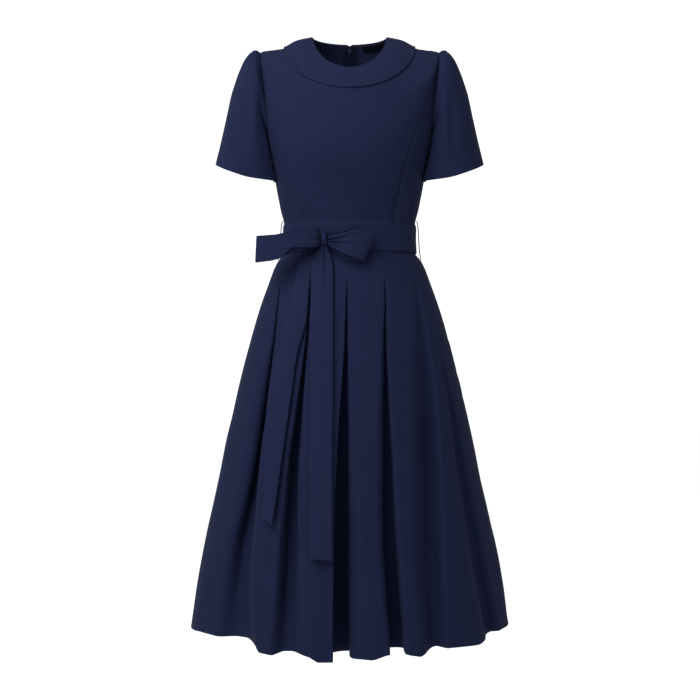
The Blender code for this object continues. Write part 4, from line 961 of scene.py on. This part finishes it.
SKIRT_PIECES = [
    # name, first column, last column, flat width, flat length, area
    ("skirt_back_left", back, left, 0.57, 0.74, 0.311),
    ("skirt_front", left, right, 1.22, 0.75, 0.648),
    ("skirt_back_right", right, whole, 0.67, 0.74, 0.322),
]
for name, first, last, width, length, area in SKIRT_PIECES:
    picked = np.arange(first, last + 1) % whole
    panel = inset_sides(outer[:, picked])
    piece = cloth_shell(name + "_crepe", panel, navy_crepe, outward=normal[:, picked], inside=crepe_inside_painted_lighter)
    sew_on(piece, name)
for name, column, reach in (("back", back, 1), ("left", left, 2), ("right", right, 2)):
    near = np.arange(column - reach, column + reach + 1) % whole
    strip = (outer - normal * (CREPE_THICKNESS + 0.3))[:-2, near]
    strip[0, :, 2] += HEM_CLEAR
    sew_allowance("skirt_allowance_" + name, strip, normal[:-2, near])


# Belt. A tie belt of doubled crepe that goes once round the waist, turned and stitched so that its
# edges roll over, and a little creased by the tying.

BELT_FOOT_Z = -401.0
BELT_TOP_SHARE = 0.08
BELT_HEIGHT = 52.0
BELT_EASE = 0.7
BELT_CLOTH = 1.8
BELT_SHELL = 1.6
BELT_ROLL = 0.45
BELT_TURN = 0.7
BELT_TUCK = 1.3
BELT_ROWS = 26
BELT_COLUMNS = 420
BELT_CREASES = [
    # x0,    z0,     x1,    z1,    width, depth
    (-30.0, -374.0,  40.0, -368.0, 3.0, -0.8),
    (-20.0, -384.0,  62.0, -388.0, 3.5, -0.8),
    (60.0,  -362.0, 112.0, -358.0, 3.0, -0.6),
    (70.0,  -392.0, 116.0, -386.0, 3.0, -0.6),
    (-118.0, -366.0, -64.0, -372.0, 3.0, -0.9),
    (-116.0, -388.0, -70.0, -382.0, 3.0, -0.7),
]

belt_cloth = cloth_material(
    "belt crepe", shade=(0.0040, 0.0057, 0.0172), light=(0.0074, 0.0103, 0.0302), roughness=0.84, sheen=0.01
)
round_belt = np.linspace(-180, 180, BELT_COLUMNS, endpoint=False)
low = skirt_outline(round_belt, BELT_FOOT_Z) * (1, 1, 0) + (0, 0, BELT_FOOT_Z)
seam = skirt_outline(round_belt, WAIST_Z)
high = bodice_point(round_belt, np.full(BELT_COLUMNS, BELT_TOP_SHARE))
place = np.linspace(0, 1, BELT_ROWS)[:, None, None]
base = np.where(place < 0.5, low + (seam - low) * place * 2, seam + (high - seam) * (place * 2 - 1))
outward = unit(base * (1, 1, 0))
across = place[..., 0]
height = base[..., 2]
edge = np.minimum(across, 1 - across) * BELT_HEIGHT
roll = BELT_ROLL * hump(edge, 2.4, 1.7) - BELT_TURN * hump(edge, 0, 1.0)
lift = 0.1 + np.where(across < 0.5, roll, -BELT_TUCK * hump(edge, 0, 3.2))
lift = lift + 0.35 * wavering(round_belt * 2.2 + 0 * across, 64.0, 3.0) * np.sin(math.pi * across)
front = base[..., 1] < 0
lift = lift + np.where(front, folded(base[..., 0], height, BELT_CREASES), 0.0)
lift = lift + np.where(front, 0.0, folded(-base[..., 0], height, BELT_CREASES))
outer = base + outward * (BELT_EASE + BELT_CLOTH + np.maximum(lift, -1.4))[..., None]
piece = cloth_shell("belt_band_cloth", outer, belt_cloth, thickness=BELT_SHELL, around=True, outward=outward)
sew_on(piece, "belt_band")


# Bow. The belt's own cloth: two loops that leave a small tight knot, turn and come back behind it.
# The tying draws the cloth into folds that run out of the knot and soften towards the turns.

BOW_LOOP_LEFT = [
    # x,      y,       z,     height, slant
    (-52.9, -104.0, -379.5, 26.0, 0.0),
    (-57.5, -111.5, -380.0, 31.5, 0.0),
    (-70.0, -117.5, -380.5, 33.5, 0.0),
    (-88.0, -119.5, -380.5, 33.0, 0.0),
    (-102.0, -119.5, -381.5, 32.5, 0.0),
    (-109.0, -118.5, -386.0, 35.0, 0.0),
    (-117.0, -117.0, -392.5, 42.0, 0.0),
    (-128.0, -115.0, -396.0, 44.5, -0.5),
    (-142.0, -112.0, -397.5, 46.0, -1.0),
    (-158.0, -108.0, -399.0, 47.0, -1.5),
    (-165.5, -103.0, -399.5, 47.5, -2.0),
    (-165.5, -98.5, -399.5, 47.5, -2.0),
    (-157.0, -95.5, -398.5, 47.0, -1.5),
    (-138.0, -96.0, -396.5, 46.0, -1.0),
    (-112.0, -98.0, -389.0, 41.0, 0.0),
    (-84.0, -98.5, -381.0, 32.0, 0.0),
    (-62.0, -97.5, -379.5, 27.0, 0.0),
    (-52.9, -96.5, -379.0, 22.0, 0.0),
]
BOW_LOOP_RIGHT = [
    # x,      y,       z,     height, slant
    (-39.1, -104.0, -384.5, 12.0, 0.0),
    (-31.0, -110.5, -387.0, 20.0, 0.0),
    (-12.0, -117.5, -389.0, 34.0, -2.0),
    (8.0, -120.5, -390.5, 45.0, -6.0),
    (24.0, -119.5, -393.0, 48.0, -11.0),
    (36.0, -117.0, -396.0, 47.0, -16.0),
    (43.0, -113.5, -398.5, 46.0, -19.0),
    (45.5, -109.3, -399.0, 46.0, -21.0),
    (41.0, -105.8, -395.0, 54.0, -20.0),
    (30.0, -104.6, -391.5, 62.0, -14.0),
    (15.0, -104.5, -391.5, 62.0, -8.0),
    (-4.0, -104.0, -391.5, 53.0, -4.0),
    (-22.0, -101.5, -387.0, 37.0, 0.0),
    (-32.0, -99.0, -383.0, 26.0, 0.0),
    (-39.1, -97.0, -380.0, 20.0, 0.0),
]
LOOP_ROWS = 40
LOOP_COLUMNS = 150
LOOP_SPREAD = 180.0
EDGE_ROLL = 0.35


def fine_strip(rows_of_points, rows, cols):
    """A strip through coarse points, columns along it and rows across, made smooth."""
    coarse = np.asarray(rows_of_points, float)
    path = np.linalg.norm(np.diff(coarse.mean(axis=0), axis=0), axis=-1)
    places = np.concatenate([[0], np.cumsum(path)])
    fine_places = np.linspace(0, places[-1], cols)
    strip = np.zeros((rows, cols, 3))
    share = np.linspace(0, 1, coarse.shape[0])
    fine_share = np.linspace(0, 1, rows)
    for axis in range(3):
        along = np.array([smooth_table(places, line[:, axis], fine_places) for line in coarse])
        for col in range(cols):
            strip[:, col, axis] = smooth_table(share, along[:, col], fine_share)
    return strip


def tied_lift(strip, across, away, drawn_folds, held=1, spread=math.inf):
    """Rolled long edges, and the folds that run out of the knot: place, depth, reach and width."""
    up = lengths_along(strip, 0)
    edge = np.minimum(up, up[-1:] - up)
    lift = EDGE_ROLL * hump(edge, 2.2, 1.6) - EDGE_ROLL * BELT_CLOTH * hump(edge, 0, 0.9)
    for place, depth, reach, width in drawn_folds:
        fade = hump(away, 0, reach) * held
        lift = lift + depth * fade * hump(across, place * (1 + away / spread), width)
    return lift


def sew_tie_piece(name, strip, normal, lift):
    """Make one end of the belt from its middle line of cloth and put it in its node's place."""
    outer = strip + normal * (BELT_CLOTH / 2 + lift)[..., None]
    piece = cloth_shell(name + "_cloth", outer, belt_cloth, thickness=BELT_SHELL, outward=normal)
    sew_on(piece, name)


def tie_loop(name, table, knot_folds, seed):
    """One loop of the bow, from the knot round its turn and back."""
    xs, ys, zs, heights, slants = columns(table)
    coarse = []
    for place in np.linspace(-0.5, 0.5, 3):
        coarse.append(np.stack([xs - slants * place + slants / 2, ys, zs + heights * place], -1))
    strip = fine_strip(coarse, LOOP_ROWS, LOOP_COLUMNS)
    normal = grid_normals(strip)
    along = lengths_along(strip, 1)
    to_knot = np.minimum(along, along[:, -1:] - along)
    across = np.linspace(-1, 1, LOOP_ROWS)[:, None]
    held = np.clip(to_knot / 4.0, 0.3, 1)
    lift = tied_lift(strip, across, to_knot, knot_folds, held, LOOP_SPREAD)
    lift = lift + 0.5 * wavering(along, 55.0, seed) * np.sin(math.pi * (across + 1) / 2)
    sew_tie_piece(name, strip, normal, lift)


tie_loop(
    "bow_loop_left", BOW_LOOP_LEFT,
    [(-0.5, -1.5, 15.0, 0.22), (0.05, -1.1, 18.0, 0.16), (0.5, -1.4, 14.0, 0.18), (-0.2, 0.9, 20.0, 0.2)],
    1.0,
)
tie_loop(
    "bow_loop_right", BOW_LOOP_RIGHT,
    [(-0.55, -3.0, 34.0, 0.15), (-0.05, -3.4, 40.0, 0.12), (0.42, -3.6, 52.0, 0.14), (0.18, 2.2, 40.0, 0.16),
     (0.72, 1.6, 50.0, 0.14)],
    2.0,
)

# The knot is one more turn of the belt, drawn tight round the roots of the loops.
KNOT_CENTRE = (-46.0, -100.2, -379.5)
KNOT_HALF = (5.4, 8.8, 12.4)
KNOT_ROWS = 40
KNOT_COLUMNS = 64
KNOT_FOLDS = 5.0
KNOT_FOLD_DEPTH = 0.10
KNOT_WAIST = 0.10
KNOT_SQUARENESS = 0.7

rise = np.linspace(-1, 1, KNOT_ROWS)[:, None]
turn = np.linspace(0, 2 * math.pi, KNOT_COLUMNS, endpoint=False)[None, :]
girth = (1 - np.abs(rise) ** 5) ** 0.2 * (0.94 - KNOT_WAIST * np.cos(math.pi * rise) * np.sin(turn + 0.4))
wrap = 1 + KNOT_FOLD_DEPTH * np.sin(KNOT_FOLDS * turn + 1.9 * rise + 0.7 * np.sin(2 * rise))
knot_x = np.sign(np.cos(turn)) * np.abs(np.cos(turn)) ** KNOT_SQUARENESS * KNOT_HALF[0] * girth * wrap
knot_y = np.sign(np.sin(turn)) * np.abs(np.sin(turn)) ** KNOT_SQUARENESS * KNOT_HALF[1] * girth * wrap
knot_z = KNOT_HALF[2] * rise + 0 * turn
points = np.stack([knot_x, knot_y, knot_z], -1)[1:-1] + KNOT_CENTRE
rows, cols = points.shape[:2]
number = np.arange(rows * cols).reshape(rows, cols)
faces = np.stack([number[:-1], np.roll(number, -1, 1)[:-1], np.roll(number, -1, 1)[1:], number[1:]], -1)
mesh = bpy.data.meshes.new("bow_knot_cloth")
mesh.from_pydata(
    (points.reshape(-1, 3) * MM).tolist(), [],
    faces.reshape(-1, 4).tolist() + [number[0, ::-1].tolist(), number[-1].tolist()],
)
weave = mesh.uv_layers.new(name="weave")
spots = np.array([vert.co[:] for vert in mesh.vertices])
corners = np.array([loop.vertex_index for loop in mesh.loops])
spread = np.stack([spots[corners, 0] - spots[corners, 1], spots[corners, 2]], -1)
weave.data.foreach_set("uv", spread.reshape(-1))
mesh.shade_smooth()
mesh.materials.append(belt_cloth)
knot = bpy.data.objects.new("bow_knot_cloth", mesh)
bpy.context.scene.collection.objects.link(knot)
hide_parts("bow_knot")
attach(knot, "dress")


# Belt tails. The two ends hang from under the knot, one straight down the front and one carried to
# the side by the skirt; both end in a slanted, turned edge.

BELT_TAIL_LEFT = [
    # left_x, left_z, right_x, right_z, left_out, right_out, bow
    (-52.9, -372.5, -52.9, -390.0, 3.7, 3.7, 0.0),
    (-64.0, -376.0, -56.5, -396.0, 3.8, 4.0, 0.4),
    (-77.0, -385.0, -61.0, -402.0, 4.4, 5.2, 0.8),
    (-85.0, -398.0, -64.5, -408.0, 5.0, 5.8, 1.5),
    (-88.5, -415.0, -67.0, -420.0, 5.0, 5.5, 2.0),
    (-98.0, -455.0, -71.0, -456.0, 5.0, 5.0, 2.0),
    (-113.0, -520.0, -76.0, -520.0, 6.0, 5.5, 2.5),
    (-130.0, -590.0, -93.0, -590.0, 6.5, 6.5, 2.5),
    (-142.0, -663.0, -103.0, -663.0, 7.0, 8.0, 3.0),
    (-149.0, -756.0, -116.0, -756.0, 7.0, 9.0, 3.0),
    (-149.5, -830.0, -126.0, -832.0, 7.0, 11.0, 3.0),
    (-151.0, -867.0, -133.5, -881.0, 7.0, 12.0, 3.0),
]
BELT_TAIL_RIGHT = [
    # left_x, left_z, right_x, right_z, left_out, right_out, bow
    (-51.0, -393.3, -41.0, -393.3, 14.5, 14.0, 0.5),
    (-57.0, -402.0, -38.0, -402.0, 13.5, 13.0, 2.0),
    (-65.0, -413.0, -33.5, -413.0, 9.5, 9.0, 2.0),
    (-68.5, -427.0, -30.5, -427.0, 8.6, 7.0, 1.5),
    (-69.0, -455.0, -29.5, -455.0, 8.0, 6.5, 1.0),
    (-69.0, -530.0, -29.0, -530.0, 7.4, 7.0, 1.0),
    (-69.0, -620.0, -29.0, -620.0, 7.5, 7.5, 1.5),
    (-69.0, -710.0, -29.5, -710.0, 8.5, 8.5, 2.0),
    (-68.5, -800.0, -29.5, -800.0, 9.5, 9.5, 2.0),
    (-68.5, -880.0, -29.5, -880.0, 10.5, 10.5, 2.0),
    (-68.5, -932.0, -29.5, -935.0, 11.0, 11.0, 2.0),
]
TAIL_ROWS = 26
TAIL_COLUMNS = 240


def angle_across(x, level):
    """The angle at which the skirt's front outline crosses x."""
    low = -89.0
    high = 89.0
    for _ in range(30):
        middle = (low + high) / 2
        if skirt_outline(middle, level)[0] < x:
            low = middle
        else:
            high = middle
    return (low + high) / 2


def hang_tail(name, table, root_folds, seed):
    """One end of the belt, laid at its table's distances out from the skirt."""
    coarse = []
    for share in np.linspace(0, 1, 5):
        line = []
        for left_x, left_z, right_x, right_z, left_out, right_out, bow in table:
            x = left_x + (right_x - left_x) * share
            z = left_z + (right_z - left_z) * share
            out = left_out + (right_out - left_out) * share + bow * math.sin(math.pi * share)
            angle = angle_across(x, z)
            _, inward = across_outline(np.array([angle]), z)
            at = skirt_outline(angle, z)
            line.append(np.array([at[0], at[1] - out / inward[0][1], z]))
        coarse.append(line)
    strip = fine_strip(coarse, TAIL_ROWS, TAIL_COLUMNS)
    normal = grid_normals(strip)
    if normal[..., 1].sum() > 0:
        normal = -normal
    along = lengths_along(strip, 1)
    across = np.linspace(-1, 1, TAIL_ROWS)[:, None]
    lift = tied_lift(strip, across, along, root_folds)
    lift = lift + 0.6 * wavering(along, 210.0, seed) * np.cos(math.pi * across / 2)
    sew_tie_piece(name, strip, normal, lift)


hang_tail(
    "belt_tail_left", BELT_TAIL_LEFT,
    [(-0.55, -2.8, 62.0, 0.13), (0.0, -3.2, 74.0, 0.13), (0.5, -2.6, 60.0, 0.13), (0.25, 1.8, 66.0, 0.14),
     (-0.28, 1.8, 66.0, 0.14)],
    1.0,
)
hang_tail(
    "belt_tail_right", BELT_TAIL_RIGHT,
    [(-0.4, -2.4, 46.0, 0.16), (0.35, -2.8, 62.0, 0.16), (0.0, 2.0, 60.0, 0.22)],
    2.0,
)


# Belt carriers. A chain of navy thread is sewn into each side seam, above and below the waist, and
# the belt runs through it.


def dress_nodes(names, material):
    """Give solids whose own shape is right the finish of the real piece."""
    for name in names:
        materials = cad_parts[name].data.materials
        materials.clear()
        materials.append(material)


thread_navy = cloth_material(
    "navy thread", shade=(0.003, 0.004, 0.014), light=(0.008, 0.010, 0.030), roughness=0.6, sheen=0.1,
    thread=0.0009, pebble=0.2, relief=0.0003,
)
dress_nodes(("belt_carrier_left", "belt_carrier_right"), thread_navy)


# Neck label. A bare strip of black woven tape inside the back of the neck. Its ends are folded under
# and sewn down.

LABEL_THICKNESS = 0.8
LABEL_INSIDE = 2.3
LABEL_FOLD = 0.3
label_black = cloth_material(
    "label tape", shade=(0.002, 0.002, 0.003), light=(0.007, 0.007, 0.009), roughness=0.5, sheen=0.0,
    thread=0.0006, pebble=0.1, relief=0.0001,
)
angles, shares = np.meshgrid(np.linspace(107, 161, 60), np.linspace(0.970, 0.996, 16))
normal = bodice_normal(angles, shares)
base = bodice_point(angles, shares) - normal * LABEL_INSIDE
across = lengths_along(base, 1)
ends = np.minimum(across, across[:, -1:] - across)
lift = LABEL_FOLD * hump(ends, 3.0, 2.0) - LABEL_FOLD * hump(ends, 2.0, 0.4)
outer = base - normal * lift[..., None]
label = cloth_shell("neck_label_tape", outer, label_black, thickness=LABEL_THICKNESS, outward=normal)
sew_on(label, "neck_label")


# Centre-back zip. Two navy tapes are sewn behind the seam, with a fine coil between them. The
# slider is closed at the neck, and its pull hangs outside on a hinge.

zip_tape = cloth_material(
    "zip tape", shade=(0.0025, 0.0035, 0.011), light=(0.006, 0.008, 0.022), roughness=0.75, sheen=0.05,
    thread=0.0008, pebble=0.15, relief=0.0002,
)
dress_nodes(("zip_tape_left", "zip_tape_right"), zip_tape)

COIL_TOP = -4.0
COIL_FOOT = -577.0
COIL_RADIUS = 1.35
COIL_PITCH = 1.5
COIL_DEPTH = 3.2
COIL_FLATNESS = 0.7
COIL_WALL = 0.3

zip_coil = cloth_material(
    "zip coil", shade=(0.003, 0.004, 0.012), light=(0.010, 0.013, 0.034), roughness=0.45, sheen=0.0,
    thread=0.0015, pebble=0.0, relief=0.0002,
)
path = []
for share in np.linspace(1.0, 0.0, 90):
    path.append(bodice_point(180.0, share) - bodice_normal(180.0, share) * COIL_DEPTH)
for level in np.linspace(WAIST_Z - 6, COIL_FOOT, 60):
    path.append(skirt_outline(180.0, level) - (0, COIL_DEPTH, 0))
path = np.array([point for point in path if COIL_TOP > point[2] >= COIL_FOOT]) * (0, 1, 1)
run = np.concatenate([[0], np.cumsum(np.linalg.norm(np.diff(path, axis=0), axis=-1))])
steps = np.arange(0, run[-1], COIL_PITCH / 4)
line = np.stack([np.interp(steps, run, path[:, axis]) for axis in range(3)], -1)
way = unit(np.gradient(line, axis=0))
aside = np.array([1.0, 0.0, 0.0])
across = np.cross(way, aside)
radius = COIL_RADIUS * (0.86 + 0.14 * np.cos(2 * math.pi * steps / COIL_PITCH))
turn = np.linspace(0, 2 * math.pi, 8, endpoint=False)
ring = np.cos(turn)[:, None, None] * aside + COIL_FLATNESS * np.sin(turn)[:, None, None] * across
coil = (line + ring * radius[:, None]).transpose(1, 0, 2)
coil = cloth_shell("zip_coil", coil, zip_coil, thickness=COIL_WALL, around=True, outward=coil - line[:, None])
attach(coil, "dress")

LACQUER_METALLIC = 0.6
LACQUER_NEW = 0.28
LACQUER_RUBBED = 0.46

zip_lacquer = bpy.data.materials.new("zip lacquer")
zip_lacquer.use_nodes = True
tree = zip_lacquer.node_tree
shader = tree.nodes["Principled BSDF"]
shader.inputs["Metallic"].default_value = LACQUER_METALLIC
rubbed = noise_node(tree, 9.0, 4.0)
colour = colour_between(tree, rubbed.outputs["Fac"], (0.016, 0.019, 0.046), (0.027, 0.031, 0.066))
tree.links.new(colour, shader.inputs["Base Color"])
dulling = tree.nodes.new("ShaderNodeMapRange")
dulling.inputs["To Min"].default_value = LACQUER_NEW
dulling.inputs["To Max"].default_value = LACQUER_RUBBED
tree.links.new(rubbed.outputs["Fac"], dulling.inputs["Value"])
tree.links.new(dulling.outputs["Result"], shader.inputs["Roughness"])
dress_nodes(("zip_slider", "zip_pull"), zip_lacquer)


# Studio. A pale seamless floor under the hanging dress, white surroundings and one large soft light
# from the front left.

FLOOR_Z = -1.40
FLOOR_HALF = 12
floor_mesh = bpy.data.meshes.new("studio_floor")
corners = [(FLOOR_HALF * x, FLOOR_HALF * y, FLOOR_Z) for x, y in ((-1, -1), (1, -1), (1, 1), (-1, 1))]
floor_mesh.from_pydata(corners, [], [(0, 1, 2, 3)])
floor = bpy.data.objects.new("studio_floor", floor_mesh)
bpy.context.scene.collection.objects.link(floor)
floor_white = bpy.data.materials.new("floor white")
floor_white.use_nodes = True
shader = floor_white.node_tree.nodes["Principled BSDF"]
shader.inputs["Base Color"].default_value = (0.93, 0.93, 0.93, 1.0)
shader.inputs["Roughness"].default_value = 0.9
floor_mesh.materials.append(floor_white)

scene = bpy.context.scene
world = bpy.data.worlds.new("studio")
world.use_nodes = True
tree = world.node_tree
tree.nodes["Background"].inputs["Color"].default_value = (1.0, 1.0, 1.0, 1.0)
looking = tree.nodes.new("ShaderNodeTexCoord")
split_way = tree.nodes.new("ShaderNodeSeparateXYZ")
tree.links.new(looking.outputs["Generated"], split_way.inputs[0])
dimming = tree.nodes.new("ShaderNodeMapRange")
dimming.interpolation_type = "SMOOTHSTEP"
dimming.inputs["From Min"].default_value = 0.34
dimming.inputs["From Max"].default_value = 1.0
dimming.inputs["To Min"].default_value = 1.15
dimming.inputs["To Max"].default_value = 0.65
tree.links.new(split_way.outputs[0], dimming.inputs["Value"])
tree.links.new(dimming.outputs["Result"], tree.nodes["Background"].inputs["Strength"])
scene.world = world
scene.view_settings.view_transform = "Standard"

KEY_PLACE = (-0.85, -1.15, 0.70)
KEY_AIM = (0.0, -0.05, -0.45)
KEY_SIZE = 1.5
KEY_POWER = 58.0
CAMERA_PLACE = (0.0007, -2.7, -0.579)
CAMERA_LENS = 75.0

key = bpy.data.lights.new("key", "AREA")
key.shape = "DISK"
key.size = KEY_SIZE
key.energy = KEY_POWER
lamp = bpy.data.objects.new("key", key)
lamp.location = KEY_PLACE
lamp.rotation_euler = (Vector(KEY_PLACE) - Vector(KEY_AIM)).to_track_quat("Z", "Y").to_euler()
lamp.visible_camera = False
scene.collection.objects.link(lamp)

lens = bpy.data.cameras.new("camera")
lens.lens = CAMERA_LENS
lens.sensor_width = 36.0
camera = bpy.data.objects.new("camera", lens)
camera.location = CAMERA_PLACE
camera.rotation_euler = (math.radians(90), 0.0, 0.0)
scene.collection.objects.link(camera)
scene.camera = camera
